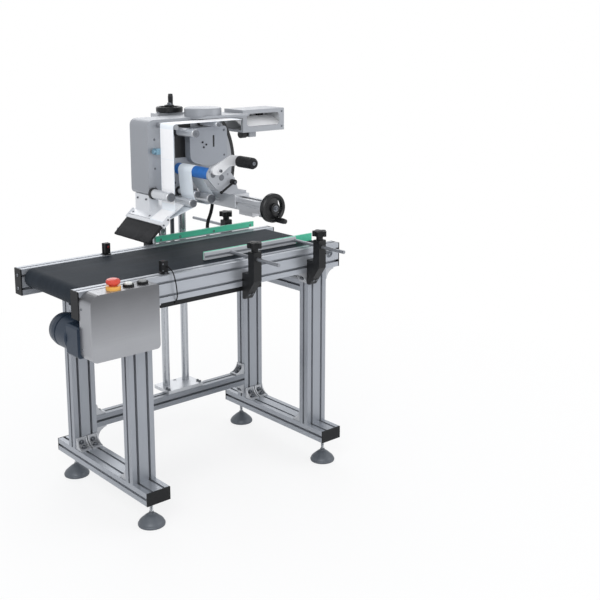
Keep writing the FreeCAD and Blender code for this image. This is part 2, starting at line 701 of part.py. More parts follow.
def column_plates():
    """Base plate on the stretcher, tie plate on the back rail and top plate of the columns."""
    half = COLUMN_PITCH / 2 + 22
    base = prism_xy([(COLUMN_X - 72, INNER_Y + 3, 4), (COLUMN_X + 72, INNER_Y + 3, 4), (COLUMN_X + 72, COLUMN_Y + 29, 4),
                     (COLUMN_X - 72, COLUMN_Y + 29, 4)], STRETCHER_BOTTOM + PROFILE, STRETCHER_BOTTOM + PROFILE + 12)
    base = without(base, cyl_z(COLUMN_X + 8, COLUMN_Y + 19, 6.0, 200, 240))
    back = COLUMN_Y + 23
    tie = prism_xy([(COLUMN_X - half, OUTER_Y, 0), (COLUMN_X + half, OUTER_Y, 0), (COLUMN_X + half, back, 8),
                    (COLUMN_X - half, back, 8)], 652, 688)
    front = COLUMN_Y - 21
    top = prism_xy([(COLUMN_X - half, front, 8), (COLUMN_X + half, front, 8), (COLUMN_X + half, back, 8),
                    (COLUMN_X - half, back, 8)], COLUMN_TOP - 18, COLUMN_TOP)
    plates = []
    for plate in (base, tie, top):
        seats = [cyl_z(COLUMN_X + s * COLUMN_PITCH / 2, COLUMN_Y, COLUMN_D / 2, 0, COLUMN_TOP - 4)
                 for s in (-1, 1)]
        plates.append(without(plate, *seats))
    screw_room = cyl_z(COLUMN_X, COLUMN_Y, LEAD_SCREW_D / 2 + RUNNING_FIT, 658, COLUMN_TOP + 1)
    return group([plates[0], without(plates[1], screw_room), without(plates[2], screw_room)])


def columns():
    """Two ground steel columns."""
    return group([cyl_z(COLUMN_X + s * COLUMN_PITCH / 2, COLUMN_Y, COLUMN_D / 2, STRETCHER_BOTTOM + PROFILE,
                        COLUMN_TOP - 4) for s in (-1, 1)])


def lead_screw():
    """Lift screw between the tie plate and the handwheel."""
    return cyl_z(COLUMN_X, COLUMN_Y, LEAD_SCREW_D / 2, 660, COLUMN_TOP + 6)


def handwheel(base, axis, screw_r, turn, side):
    """Dished handwheel with a rounded rim, a web open on one side, a hub and a grip on the rim."""
    r = WHEEL_D / 2
    web = turned([(screw_r, 1), (14, 1), (14, 8), (r - 12, 6), (r - 12, 2), (r - 9, -1), (r - 2, -1), (r, 2),
                  (r, 14), (r - 3, 17), (r - 9, 17), (r - 12, 14), (r - 12, 11), (16, 14), (16, 22),
                  (screw_r, 22)], V(0, 0, 0))
    chord = 17.0
    reach = r - 11
    half = math.sqrt(reach ** 2 - chord ** 2)
    opening = Part.Face(Part.Wire([
        Part.Arc(V(chord, -half, -2), V(reach, 0, -2), V(chord, half, -2)).toShape(),
        Part.makeLine(V(chord, half, -2), V(chord, -half, -2))])).extrude(V(0, 0, 26))
    opening.rotate(V(0, 0, 0), V(0, 0, 1), side)
    web = web.cut(opening)
    grip = turned([(0, 15), (7, 15), (8, 20), (8.5, 46), (7, 56), (0, 57)], V(-(r - 7), 0, 0))
    wheel = fused(web, grip)
    wheel.rotate(V(0, 0, 0), V(0, 0, 1), turn)
    wheel.Placement = FreeCAD.Placement(base, FreeCAD.Rotation(V(0, 0, 1), axis)).multiply(wheel.Placement)
    return wheel


def lift_wheel():
    """Handwheel on top of the lift screw."""
    return handwheel(V(COLUMN_X, COLUMN_Y, COLUMN_TOP + 2), V(0, 0, 1), LEAD_SCREW_D / 2, -130.5, 0)


def lift_block():
    """Lift carriage with bores for both columns and the screw nut."""
    half = COLUMN_PITCH / 2 + 22
    z1 = LIFT_BLOCK_BOTTOM + LIFT_BLOCK_HEIGHT
    front = COLUMN_Y - 23
    back = COLUMN_Y + 24
    block = prism_xy([(COLUMN_X - half, front, 6), (COLUMN_X + half, front, 6), (COLUMN_X + half, back, 6),
                      (COLUMN_X - half, back, 6)], LIFT_BLOCK_BOTTOM, z1)
    bores = [cyl_z(COLUMN_X + s * COLUMN_PITCH / 2, COLUMN_Y, COLUMN_D / 2 + RUNNING_FIT, 800, 1000)
             for s in (-1, 1)]
    nut = cyl_z(COLUMN_X, COLUMN_Y, LEAD_SCREW_D / 2 + RUNNING_FIT, 800, 1000)
    pocket = box(COLUMN_X - 22, COLUMN_X + 22, COLUMN_Y + 13, COLUMN_Y + 35, LIFT_BLOCK_BOTTOM + 14, z1 - 14)
    return without(block, nut, pocket, *bores)


def slide_beam():
    """Cross slide: channel beam with side grooves and a bearing plate at the wheel end."""
    w = SLIDE_WIDTH / 2
    x = SLIDE_X
    z0 = SLIDE_BOTTOM
    z1 = SLIDE_TOP
    points = [(x - w, z0, 0), (x + w, z0, 0), (x + w, z0 + 14, 0), (x + w - 3, z0 + 17, 0),
              (x + w - 3, z0 + 21, 0), (x + w, z0 + 24, 0), (x + w, z1, 0), (x + 10, z1, 0),
              (x + 10, z0 + 9, 0), (x - 10, z0 + 9, 0), (x - 10, z1, 0), (x - w, z1, 0),
              (x - w, z0 + 24, 0), (x - w + 3, z0 + 21, 0), (x - w + 3, z0 + 17, 0), (x - w, z0 + 14, 0)]
    beam = prism_xz(points, SLIDE_FRONT + 8, COLUMN_Y - 23)
    plate = prism_xz([(x - w - 2, z0 - 8, 4), (x + w + 2, z0 - 8, 4), (x + w + 2, z1 + 2, 4),
                      (x - w - 2, z1 + 2, 4)], SLIDE_FRONT, SLIDE_FRONT + 8)
    block = box(x - 18, x + 14, SLIDE_FRONT + 46, SLIDE_FRONT + 112, z0 - 14, z0)
    boss = cyl_y(x, SCREW_Z, 15.0, SLIDE_FRONT - WHEEL_BOSS, SLIDE_FRONT)
    bore = cyl_y(x, SCREW_Z, CROSS_SCREW_D / 2 + RUNNING_FIT, SLIDE_FRONT - WHEEL_BOSS - 1, SLIDE_FRONT + 9)
    return without(fused(beam, plate, block, boss), bore)


def cross_wheel():
    """Handwheel at the front end of the cross slide, on the screw that runs in the channel."""
    y0 = SLIDE_FRONT - WHEEL_BOSS
    wheel = handwheel(V(SLIDE_X, y0 - 2, SCREW_Z), V(0, -1, 0), CROSS_SCREW_D / 2 - 0.5, 105, -105)
    return fused(wheel, cyl_y(SLIDE_X, SCREW_Z, CROSS_SCREW_D / 2, y0 - 24, COLUMN_Y - 35))


def carriage():
    """Saddle on the cross slide with the nut in the channel, and the plate that carries the head."""
    y0 = CARRIAGE_FRONT
    y1 = CARRIAGE_FRONT + CARRIAGE_LENGTH
    w = SLIDE_WIDTH / 2 + BODY_GAP
    x = SLIDE_X
    top = SLIDE_TOP + BODY_GAP
    saddle = box(x - w - 6, x + w + 6, y0, y1, SLIDE_BOTTOM + 4, top + 9)
    saddle = without(saddle, box(x - w, x + w, y0 - 1, y1 + 1, SLIDE_BOTTOM, top))
    nut = box(x - 10 + BODY_GAP, x + 10 - BODY_GAP, y0 + 20, y1 - 20, SLIDE_BOTTOM + 9 + BODY_GAP, top + 1)
    nut = without(nut, cyl_y(x, SCREW_Z, CROSS_SCREW_D / 2 + RUNNING_FIT, y0, y1))
    plate = box(x - w - 3, x + w + 6, y1 - 1, HEAD_Y, top, top + 9)
    return fused(saddle, nut, plate)


def front_plate():
    """Bearing plate at the front ends of the pull roller and the nip roller, on a foot on the carriage."""
    y0 = FRONT_PLATE_Y
    top = SLIDE_TOP + BODY_GAP + 9
    plate = prism_xz([(-58, 1000, 24), (-34, 1030, 20), (14, 1030, 18), (52, 985, 20), (64, 948, 8),
                      (96, top, 3), (30, top, 3), (-20, 958, 20)], y0, y0 + 8)
    foot = box(30, 96, y0, y0 + 40, top, top + 7)
    bores = [cyl_y(PULL_X, PULL_Z, 6.0 + RUNNING_FIT, y0 - 1, y0 + 9),
             cyl_y(NIP_X, NIP_Z, 5.0 + RUNNING_FIT, y0 - 1, y0 + 9)]
    dots = [cyl_y(px, pz, 3.0, y0 - 1, y0 + 3) for px, pz in ((24, 1000), (34, 968), (-12, 972), (-44, 1012))]
    return without(fused(plate, foot), *(bores + dots))


def housing_outline(inset):
    """Outline of the ring housing: left bar and thin top bar, rounded outside corner."""
    x0 = HEAD_LEFT + inset
    bar = HEAD_LEFT + 48 - inset
    top = HEAD_TOP - inset
    low = HEAD_TOP - 15 + inset
    right = 228.5
    return [(x0, 926 + inset, 14 - inset), (bar, 926 + inset, 6 - inset), (bar, low, 10 + inset),
            (right, low, 0), (right, top, 0), (x0, top, 22 - inset)]


def ring_housing():
    """Folded sheet housing round the web window: box bar at the left, thin bar with a round hood on top."""
    shell = prism_xz(housing_outline(0.0), HEAD_Y, HEAD_BACK)
    room = prism_xz(housing_outline(HEAD_SHEET), HEAD_Y + HEAD_SHEET, HEAD_BACK + 1)
    hood = prism_xz([(20, HEAD_TOP - 4, 0), (228.5, HEAD_TOP - 4, 0), (228.5, HEAD_TOP + 2, 0),
                     (60, HEAD_TOP + 4, 40)], HEAD_Y - 34, HEAD_Y + 4)
    drum = turned([(0, 0), (DRUM_R, 0), (DRUM_R, DRUM_HEIGHT - 3), (DRUM_R - 3, DRUM_HEIGHT), (0, DRUM_HEIGHT)],
                  V(DRUM_X, DRUM_Y, HEAD_TOP - 4))
    return fused(without(shell, room), hood, drum)


def back_plate():
    """Mounting plate of the rollers with a bowed right edge, the pull motor and a terminal box behind it."""
    y0 = HEAD_Y
    y1 = HEAD_Y + 6
    lift = SLIDE_TOP + BODY_GAP + 9
    edges = [((-52, 892), (40, 892)), ((40, 892), (40, lift)), ((40, lift), (104, lift)),
             ((104, lift), (104, 918)), ((104, 918), (177, 918))]
    lines = [Part.makeLine(V(a[0], y0, a[1]), V(b[0], y0, b[1])) for a, b in edges]
    lines.append(Part.Arc(V(177, y0, 918), V(193, y0, 1000), V(150, y0, 1145)).toShape())
    lines.append(Part.makeLine(V(150, y0, 1145), V(-52, y0, 1145)))
    lines.append(Part.makeLine(V(-52, y0, 1145), V(-52, y0, 892)))
    plate = Part.Face(Part.Wire(lines)).extrude(V(0, y1 - y0, 0))
    motor = prism_xz([(PULL_X - 30, PULL_Z - 30, 6), (PULL_X + 30, PULL_Z - 30, 6),
                      (PULL_X + 30, PULL_Z + 30, 6), (PULL_X - 30, PULL_Z + 30, 6)], y1, y1 + 78)
    terminal = box(126, 174, y1, HEAD_HOSE_ROUTE[0][1] - 1.7, 930, 980)
    return fused(plate, motor, terminal)


def roller_housing():
    """Grey sheet housing in front of the black plate, with a slot and three screws."""
    y0 = HEAD_Y - 28
    shell = prism_xz([(-3, 1024, 26), (60, 1004, 60), (141, 1019, 22), (141, 1129, 12), (-5, 1129, 10)],
                     y0, HEAD_Y)
    slot = prism_xz([(84, 1064, 2), (91, 1064, 2), (91, 1102, 2), (84, 1102, 2)], y0 - 1, y0 + 6)
    screws = [cyl_y(px, pz, 3.2, y0 - 1.5, y0) for px, pz in ((44, 1082), (58, 1074), (48, 1066))]
    return fused(without(shell, slot), *screws)


def idle_roller(x, z, r):
    """Guide roller with a back flange, turning on its pin."""
    length = HEAD_Y - BODY_GAP - ROLLER_FRONT
    profile = [(4.0 + RUNNING_FIT, 0), (r - 1, 0), (r, 1), (r, length - 9), (r + 3, length - 9),
               (r + 3, length), (4.0 + RUNNING_FIT, length)]
    return turned(profile, V(x, ROLLER_FRONT, z), V(0, 1, 0))


def roller_pins():
    """Fixed pins of the guide rollers with their end discs, and the fixed bar at the top left corner."""
    pins = []
    for x, z, r in ROLLERS.values():
        pin = cyl_y(x, z, 4.0, ROLLER_FRONT - 3, HEAD_Y)
        disc = cyl_y(x, z, min(r - 3, 7.0), ROLLER_FRONT - 5, ROLLER_FRONT - BODY_GAP)
        pins.append(fused(pin, disc))
    pins.append(cyl_y(GUIDE_BAR_X, GUIDE_BAR_Z, GUIDE_BAR_R, ROLLER_FRONT - 3, HEAD_Y))
    return group(pins)


def pull_roller():
    """Blue rubber pull roller on its steel shaft."""
    core = cyl_y(PULL_X, PULL_Z, 6.0, FRONT_PLATE_Y, HEAD_Y - BODY_GAP)
    rubber = cyl_y(PULL_X, PULL_Z, PULL_R, FRONT_PLATE_Y + 8 + BODY_GAP + 0.6, HEAD_Y - 2)
    return fused(core, rubber)


def nip_roller():
    """Steel nip roller that presses the web on the pull roller."""
    core = cyl_y(NIP_X, NIP_Z, 5.0, FRONT_PLATE_Y, HEAD_Y - BODY_GAP)
    shell = cyl_y(NIP_X, NIP_Z, NIP_R, FRONT_PLATE_Y + 8 + BODY_GAP + 0.6, HEAD_Y - 2)
    return fused(core, shell)


def nip_lever():
    """Bright lever plate in front of the bearing plate, with its pivot boss."""
    y1 = FRONT_PLATE_Y - BODY_GAP
    plate = prism_xz([(-38, 1004, 12), (-10, 1000, 8), (26, 1024, 12), (76, 1024, 10), (82, 1050, 12),
                      (36, 1058, 24), (-38, 1026, 12)], y1 - 8, y1)
    boss = cyl_y(LEVER_X, LEVER_Z, 9.0, y1 - 12, y1 - 8)
    return fused(plate, boss)


def lever_grip():
    """Knurled black grip of the lever with an end screw."""
    y1 = FRONT_PLATE_Y - BODY_GAP - 8
    r = 17.5
    grip = turned([(0, 0), (r, 0), (r, 64), (r - 2.5, 70), (8, 72), (8, 70), (0, 70)],
                  V(GRIP_X, y1, GRIP_Z), V(0, -1, 0))
    flutes = []
    for k in range(18):
        a = math.radians(20 * k)
        flutes.append(cyl_y(GRIP_X + (r + 0.6) * math.cos(a), GRIP_Z + (r + 0.6) * math.sin(a), 1.4,
                            y1 - 60, y1 - 6))
    return grip.cut(Part.makeCompound(flutes))


def clamp_lever():
    """Short black clamp lever on the bearing plate."""
    y1 = FRONT_PLATE_Y - BODY_GAP
    hub = cyl_y(CLAMP_X, CLAMP_Z, 8.0, y1 - 16, y1)
    start = V(CLAMP_X, y1 - 11, CLAMP_Z)
    end = V(-10, y1 - 13, 948)
    arm = Part.makeCylinder(3.5, start.distanceToPoint(end), start, end - start)
    tip = Part.makeSphere(5.0, end)
    return fused(hub, arm, tip)


def peel_plate():
    """Slanted peel plate with its hanger block, and the brush bar held beyond its edge by two cheeks."""
    ux = PEEL_HIGH[0] - PEEL_LOW[0]
    uz = PEEL_HIGH[1] - PEEL_LOW[1]
    n = math.hypot(ux, uz)
    nx = uz / n * PEEL_SHEET
    nz = -ux / n * PEEL_SHEET
    plate = prism_xz([(PEEL_LOW[0], PEEL_LOW[1], 0), (PEEL_HIGH[0], PEEL_HIGH[1], 0),
                      (PEEL_HIGH[0] + nx, PEEL_HIGH[1] + nz, 0), (PEEL_LOW[0] + nx, PEEL_LOW[1] + nz, 0)],
                     PEEL_Y0, PEEL_Y1)
    hanger = prism_xz([(-136, 871, 0), (-102, 890.8, 0), (-102, 926, 0), (-136, 926, 0)], 62, 142)
    bar = prism_xz([brush_point(3, -3) + (0,), brush_point(14, -3) + (0,), brush_point(14, 14) + (0,),
                    brush_point(3, 14) + (0,)], PEEL_Y0 - 3, PEEL_Y1 + 3)
    cheek = [brush_point(-24, -4) + (2,), brush_point(14, -4) + (2,), brush_point(14, 14) + (2,),
             brush_point(-8, 16) + (4,), brush_point(-24, 8) + (2,)]
    cheeks = [prism_xz(cheek, y, y + 3) for y in (PEEL_Y0 - 3, PEEL_Y1)]
    return fused(plate, hanger, bar, *cheeks)


def brush_point(along, off):
    """Point of the brush section: distance down the slant and off its upper face."""
    slope = math.radians(42)
    x = PEEL_LOW[0] + 2 - along * math.cos(slope) + off * math.sin(slope)
    z = PEEL_LOW[1] - 2 - along * math.sin(slope) - off * math.cos(slope)
    return x, z


def brush_bristles():
    """Bristle bundle of the wiping brush."""
    corners = [brush_point(14, 1), brush_point(82, 2), brush_point(82, 9), brush_point(14, 12)]
    return prism_xz([(x, z, 0) for x, z in corners], PEEL_Y0, PEEL_Y1)


def feeder_box():
    """Open sheet box at the right end of the top bar: rounded window, inner block, clamp knob below."""
    x0 = 228.5
    x1 = 406.5
    z0 = 1097.0
    z1 = 1171.0
    s = HEAD_SHEET
    shell = box(x0, x1, HEAD_Y, HEAD_BACK, z0, z1)
    room = box(x0 + s, x1 - s, HEAD_Y + s, HEAD_BACK - s, z0 + s, z1 - s)
    window = prism_xz([(246, 1116, 12), (386, 1116, 12), (386, 1158, 12), (246, 1158, 12)], HEAD_Y - 1,
                      HEAD_Y + s + 1)
    side = box(x0 - 1, x0 + s + 1, HEAD_Y + 10, HEAD_BACK - 10, z0 + 8, 1140)
    block = box(278, 306, 80, 110, z0 - 20, z0)
    knob = turned([(0, 0), (12, 0), (13, 2), (13, 22), (11, 26), (4, 26), (4, 30), (0, 30)],
                  V(248.6, 95, 1087), V(1, 0, 0))
    inner = box(362, 378, HEAD_BACK - 22, HEAD_BACK - s, 1132, 1152)
    return fused(without(shell, room, window, side), block, knob, inner)


def web_sensor():
    """Label sensor on the left bar: silver barrel, dark tip, short clamp."""
    barrel = cyl_x(HEAD_Y - 12, 1064, 6.5, -132, -92)
    tip = cyl_x(HEAD_Y - 12, 1064, 4.5, -92, -76)
    clamp = box(-124, -108, HEAD_Y - 20, HEAD_Y, 1055, 1073)
    return fused(clamp, barrel, tip)


def heading(c1, r1, t1, c2, r2, t2):
    """Heading of the line that leaves one circle and meets the next; turn +1 has the centre on the left."""
    d = c2 - c1
    return math.atan2(d.z, d.x) - math.asin((t2 * r2 - t1 * r1) / d.Length)


def on_circle(c, r, turn, angle):
    """Point of a circle where the travel heading is angle."""
    return V(c.x + turn * r * math.sin(angle), 0, c.z - turn * r * math.cos(angle))


def path_edges(stops, shift):
    """Line and arc edges round the stops (x, z, radius, turn), moved to the left by shift."""
    centres = [V(x, 0, z) for x, z, r, turn in stops]
    headings = []
    for i in range(len(stops) - 1):
        headings.append(heading(centres[i], stops[i][2], stops[i][3],
                                centres[i + 1], stops[i + 1][2], stops[i + 1][3]))
    edges = []
    last = on_circle(centres[0], -shift, 1, headings[0])
    for i in range(1, len(stops) - 1):
        r = stops[i][2] - stops[i][3] * shift
        turn = stops[i][3]
        sweep = (headings[i] - headings[i - 1]) * turn % (2 * math.pi)
        enter = on_circle(centres[i], r, turn, headings[i - 1])
        middle = on_circle(centres[i], r, turn, headings[i - 1] + turn * sweep / 2)
        leave = on_circle(centres[i], r, turn, headings[i])
        edges.append(Part.makeLine(last, enter))
        edges.append(Part.Arc(enter, middle, leave).toShape())
        last = leave
    finish = on_circle(centres[-1], -shift, 1, headings[-1])
    edges.append(Part.makeLine(last, finish))
    return edges, on_circle(centres[0], -shift, 1, headings[0]), finish


def label_web():
    """Label web: over the top guides, down to the peel edge, back round the pull roller, down to a roller."""
    skin = BODY_GAP + WEB_THICKNESS / 2
    ux = PEEL_HIGH[0] - PEEL_LOW[0]
    uz = PEEL_HIGH[1] - PEEL_LOW[1]
    n = math.hypot(ux, uz)
    bend_x = WEB_X - WEB_BEND_R
    bend_z = PEEL_LOW[1] + (bend_x - PEEL_LOW[0]) * uz / ux + (skin + WEB_BEND_R) * n / ux
    edge = (PEEL_LOW[0] + uz / n * PEEL_SHEET / 2, PEEL_LOW[1] - ux / n * PEEL_SHEET / 2)
    b, c, d = (ROLLERS[key] for key in "bcd")
    stops = [(150.0, GUIDE_BAR_Z + GUIDE_BAR_R + skin, 0.0, 1),
             (GUIDE_BAR_X, GUIDE_BAR_Z, GUIDE_BAR_R + skin, 1),
             (bend_x, bend_z, WEB_BEND_R, -1),
             (edge[0], edge[1], PEEL_SHEET / 2 + skin, 1),
             (b[0], b[1], b[2] + skin, 1),
             (c[0], c[1], c[2] + skin, -1),
             (PULL_X, PULL_Z, PULL_R + skin, -1),
             (NIP_X, NIP_Z, NIP_R + skin, 1),
             (d[0], d[1], d[2] + skin, -1),
             (8.0, d[1] - d[2] - skin - 1.0, 0.0, 1)]
    left, left_start, left_end = path_edges(stops, WEB_THICKNESS / 2)
    right, right_start, right_end = path_edges(stops, -WEB_THICKNESS / 2)
    edges = left + [Part.makeLine(left_end, right_end)] + right + [Part.makeLine(left_start, right_start)]
    face = Part.Face(Part.Wire(Part.__sortEdges__(edges)))
    web = face.extrude(V(0, WEB_WIDTH, 0))
    web.translate(V(0, WEB_FRONT, 0))
    return web


def cord(name, points, diameter):
    """Tube of straight runs and tangent arcs through the route points."""
    edges = []
    length = 0.0
    last = points[0]
    for before, p, after in zip(points, points[1:], points[2:]):
        a = (before - p).normalize()
        b = (after - p).normalize()
        run = min(before.distanceToPoint(p), after.distanceToPoint(p))
        half = a.getAngle(b) / 2
        reach = 0.45 * run
        radius = reach * math.tan(half)
        middle = p + (a + b).normalize() * (radius / math.sin(half) - radius)
        arc = Part.Arc(p + a * reach, middle, p + b * reach).toShape()
        line = Part.makeLine(last, p + a * reach)
        edges += [line, arc]
        length += line.Length + arc.Length
        last = p + b * reach
        print(name, "bend radius", round(radius, 1))
    line = Part.makeLine(last, points[-1])
    edges.append(line)
    length += line.Length
    start = points[1] - points[0]
    ring = Part.Wire(Part.Circle(points[0], start, diameter / 2).toShape())
    tube = Part.Wire(edges).makePipeShell([ring], True, False)
    section = math.pi * diameter ** 2 / 4
    print(name, "length", round(length, 1), "volume", round(tube.Volume), "section x length", round(section * length))
    return tube


def sensor_cable():
    """Thin cable from the front sensor over the rail edge into the duct."""
    return cord("sensor_cable", [V(*p) for p in SENSOR_CABLE_ROUTE], SENSOR_CABLE_D)


def head_hose():
    """Black hose from the back of the label head to the short duct on the back rail."""
    return cord("head_hose", [V(*p) for p in HEAD_HOSE_ROUTE], HEAD_HOSE_D)


def nodes():
    """Every node with the function that builds it."""
    table = {
        "cross_profiles": cross_profiles,
        "posts": posts,
        "stretcher": stretcher,
        "side_rails": side_rails,
        "end_caps": end_caps,
        "corner_brackets": corner_brackets,
        "levelling_feet": levelling_feet,
        "conveyor_belt": conveyor_belt,
        "slider_bed": slider_bed,
        "roller_bearings": roller_bearings,
        "drive_roller": drive_roller,
        "tail_roller": lambda: belt_roller(TAIL_X, -POST_Y - 12),
        "motor_pulley": motor_pulley,
        "timing_belt": timing_belt,
        "drive_cover": drive_cover,
        "gearmotor": gearmotor,
        "stop_collar": stop_collar,
        "button_bezels": button_bezels,
        "stop_button": stop_button,
        "start_button": lambda: push_button(START_X),
        "reset_button": lambda: push_button(RESET_X),
        "cable_ducts": cable_ducts,
        "detection_sensors": detection_sensors,
        "sensor_cable": sensor_cable,
        "guide_brackets": guide_brackets,
        "guide_knobs": lambda: group([guide_knob(x, sign) for x, sign in bracket_places()]),
        "front_guide_bar": lambda: guide_bar(FRONT_GUIDE_Y, -1, bracket_places()[:2], FRONT_BAR_SPAN),
        "front_guide_strip": lambda: guide_strip(FRONT_GUIDE_Y, -1, FRONT_STRIP_SPAN),
        "back_guide_bar": lambda: guide_bar(BACK_GUIDE_Y, 1, bracket_places()[2:], BACK_BAR_SPAN),
        "back_guide_strip": lambda: guide_strip(BACK_GUIDE_Y, 1, BACK_STRIP_SPAN),
        "column_plates": column_plates,
        "columns": columns,
        "lead_screw": lead_screw,
        "lift_wheel": lift_wheel,
        "lift_block": lift_block,
        "slide_beam": slide_beam,
        "cross_wheel": cross_wheel,
        "carriage": carriage,
        "front_plate": front_plate,
        "ring_housing": ring_housing,
        "back_plate": back_plate,
        "roller_housing": roller_housing,
        "roller_pins": roller_pins,
        "pull_roller": pull_roller,
        "nip_roller": nip_roller,
        "nip_lever": nip_lever,
        "lever_grip": lever_grip,
        "clamp_lever": clamp_lever,
        "peel_plate": peel_plate,
        "brush_bristles": brush_bristles,
        "feeder_box": feeder_box,
        "web_sensor": web_sensor,
        "label_web": label_web,
        "head_hose": head_hose,
    }
    for key, (x, z, r) in ROLLERS.items():
        table["guide_roller_" + key] = lambda x=x, z=z, r=r: idle_roller(x, z, r)
    return table


def main():
    """Writes one STEP file per node."""
    os.makedirs("parts", exist_ok=True)
    for name, build in nodes().items():
        shape = build()
        if not shape.isValid():
            raise ValueError(name + " is not a valid shape")
        shape.translate(V(-ORIGIN_X, -ORIGIN_Y, 0))
        shape.exportStep("parts/" + name + ".step")
        print(name, len(shape.Solids), "solids, volume", round(shape.Volume / 1000, 1), "cm3")


if __name__ == "__main__":
    main()
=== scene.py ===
"""Looks of the flat surface labeling machine: finishes, fasteners, cords, labels, brush, stage and camera."""
import logging
import math
import random
from dataclasses import dataclass, field
from enum import Enum
from typing import Callable, Iterable, Sequence

import bmesh
import bpy
from mathutils import Matrix, Vector


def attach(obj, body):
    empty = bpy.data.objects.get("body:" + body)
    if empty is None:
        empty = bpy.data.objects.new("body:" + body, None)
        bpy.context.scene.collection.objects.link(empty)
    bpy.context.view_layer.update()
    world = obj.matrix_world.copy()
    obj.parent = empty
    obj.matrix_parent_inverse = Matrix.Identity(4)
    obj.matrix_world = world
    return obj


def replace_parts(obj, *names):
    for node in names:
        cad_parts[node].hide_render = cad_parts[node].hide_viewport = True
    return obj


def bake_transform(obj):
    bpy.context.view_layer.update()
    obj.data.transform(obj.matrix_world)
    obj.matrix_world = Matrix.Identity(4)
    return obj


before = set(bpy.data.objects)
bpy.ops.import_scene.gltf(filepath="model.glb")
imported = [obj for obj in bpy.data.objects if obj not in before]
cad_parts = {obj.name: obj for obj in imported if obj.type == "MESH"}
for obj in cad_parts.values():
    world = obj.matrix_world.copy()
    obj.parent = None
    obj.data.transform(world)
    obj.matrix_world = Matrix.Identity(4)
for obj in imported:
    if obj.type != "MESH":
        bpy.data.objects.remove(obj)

LOG = logging.getLogger("labeling_machine")
MM = 0.001
FLOOR_SHIFT = Vector((-51.8, 42.5, 0.0))
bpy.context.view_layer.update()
X = Vector((1, 0, 0))
Y = Vector((0, 1, 0))
Z = Vector((0, 0, 1))


def at(x: float, y: float, z: float) -> Vector:
    """Turns a place in the drawing frame into the row frame.

    Args:
        x: Along the belt, in millimetres from the middle of the leg frames.
        y: Across the belt, in millimetres from the middle of the posts.
        z: Above the floor, in millimetres.

    Returns:
        The point in metres.
    """
    return (Vector((x, y, z)) - FLOOR_SHIFT) * MM


def srgb(red: int, green: int, blue: int) -> tuple[float, float, float]:
    """Scene colour of an 8-bit colour.

    Args:
        red: 0 to 255.
        green: 0 to 255.
        blue: 0 to 255.

    Returns:
        Linear red, green and blue.
    """
    def linear(value: int) -> float:
        """Linear light of one channel."""
        share = value / 255
        return share / 12.92 if share <= 0.04045 else ((share + 0.055) / 1.055) ** 2.4
    return linear(red), linear(green), linear(blue)


def facing(point: Vector, normal: Vector, turn: float = 0.0) -> Matrix:
    """Frame whose Z is a surface normal.

    Args:
        point: Origin, in the row frame.
        normal: Direction of the frame's Z.
        turn: Rotation about Z, in degrees.

    Returns:
        The placing matrix.
    """
    turned = normal.to_track_quat("Z", "Y").to_matrix().to_4x4()
    return Matrix.Translation(point) @ turned @ Matrix.Rotation(math.radians(turn), 4, "Z")


class Value:
    """A node socket that takes part in arithmetic."""

    def __init__(self, graph: "Graph", socket: bpy.types.NodeSocket) -> None:
        """Keeps the socket with the graph that it belongs to."""
        self.graph = graph
        self.socket = socket

    def _maths(self, operation: str, *terms: "Value | float") -> "Value":
        """Adds one Math node.

        Args:
            operation: Blender's name of the operation.
            terms: Its inputs in order.

        Returns:
            The result.
        """
        return self.graph.value("ShaderNodeMath", {"operation": operation}, dict(enumerate(terms)))

    def __add__(self, other: "Value | float") -> "Value":
        """Sum."""
        return self._maths("ADD", self, other)

    __radd__ = __add__

    def __mul__(self, other: "Value | float") -> "Value":
        """Product."""
        return self._maths("MULTIPLY", self, other)

    __rmul__ = __mul__

    def __sub__(self, other: "Value | float") -> "Value":
        """Difference."""
        return self._maths("SUBTRACT", self, other)

    def __rsub__(self, other: float) -> "Value":
        """Difference from a number."""
        return self._maths("SUBTRACT", other, self)

    def __truediv__(self, other: "Value | float") -> "Value":
        """Quotient."""
        return self._maths("DIVIDE", self, other)

    def __gt__(self, other: "Value | float") -> "Value":
        """1 where greater, else 0."""
        return self._maths("GREATER_THAN", self, other)

    def __lt__(self, other: "Value | float") -> "Value":
        """1 where less, else 0."""
        return self._maths("LESS_THAN", self, other)

    def __pow__(self, other: float) -> "Value":
        """Power."""
        return self._maths("POWER", self, other)

    def wave(self) -> "Value":
        """Sine."""
        return self._maths("SINE", self)

    def angle(self, other: "Value") -> "Value":
        """Angle of the point (other, self)."""
        return self._maths("ARCTAN2", self, other)

    def size(self) -> "Value":
        """Absolute value."""
        return self._maths("ABSOLUTE", self)

    def clamped(self) -> "Value":
        """Limited to 0 and 1."""
        return self.graph.value("ShaderNodeClamp", {}, {0: self})


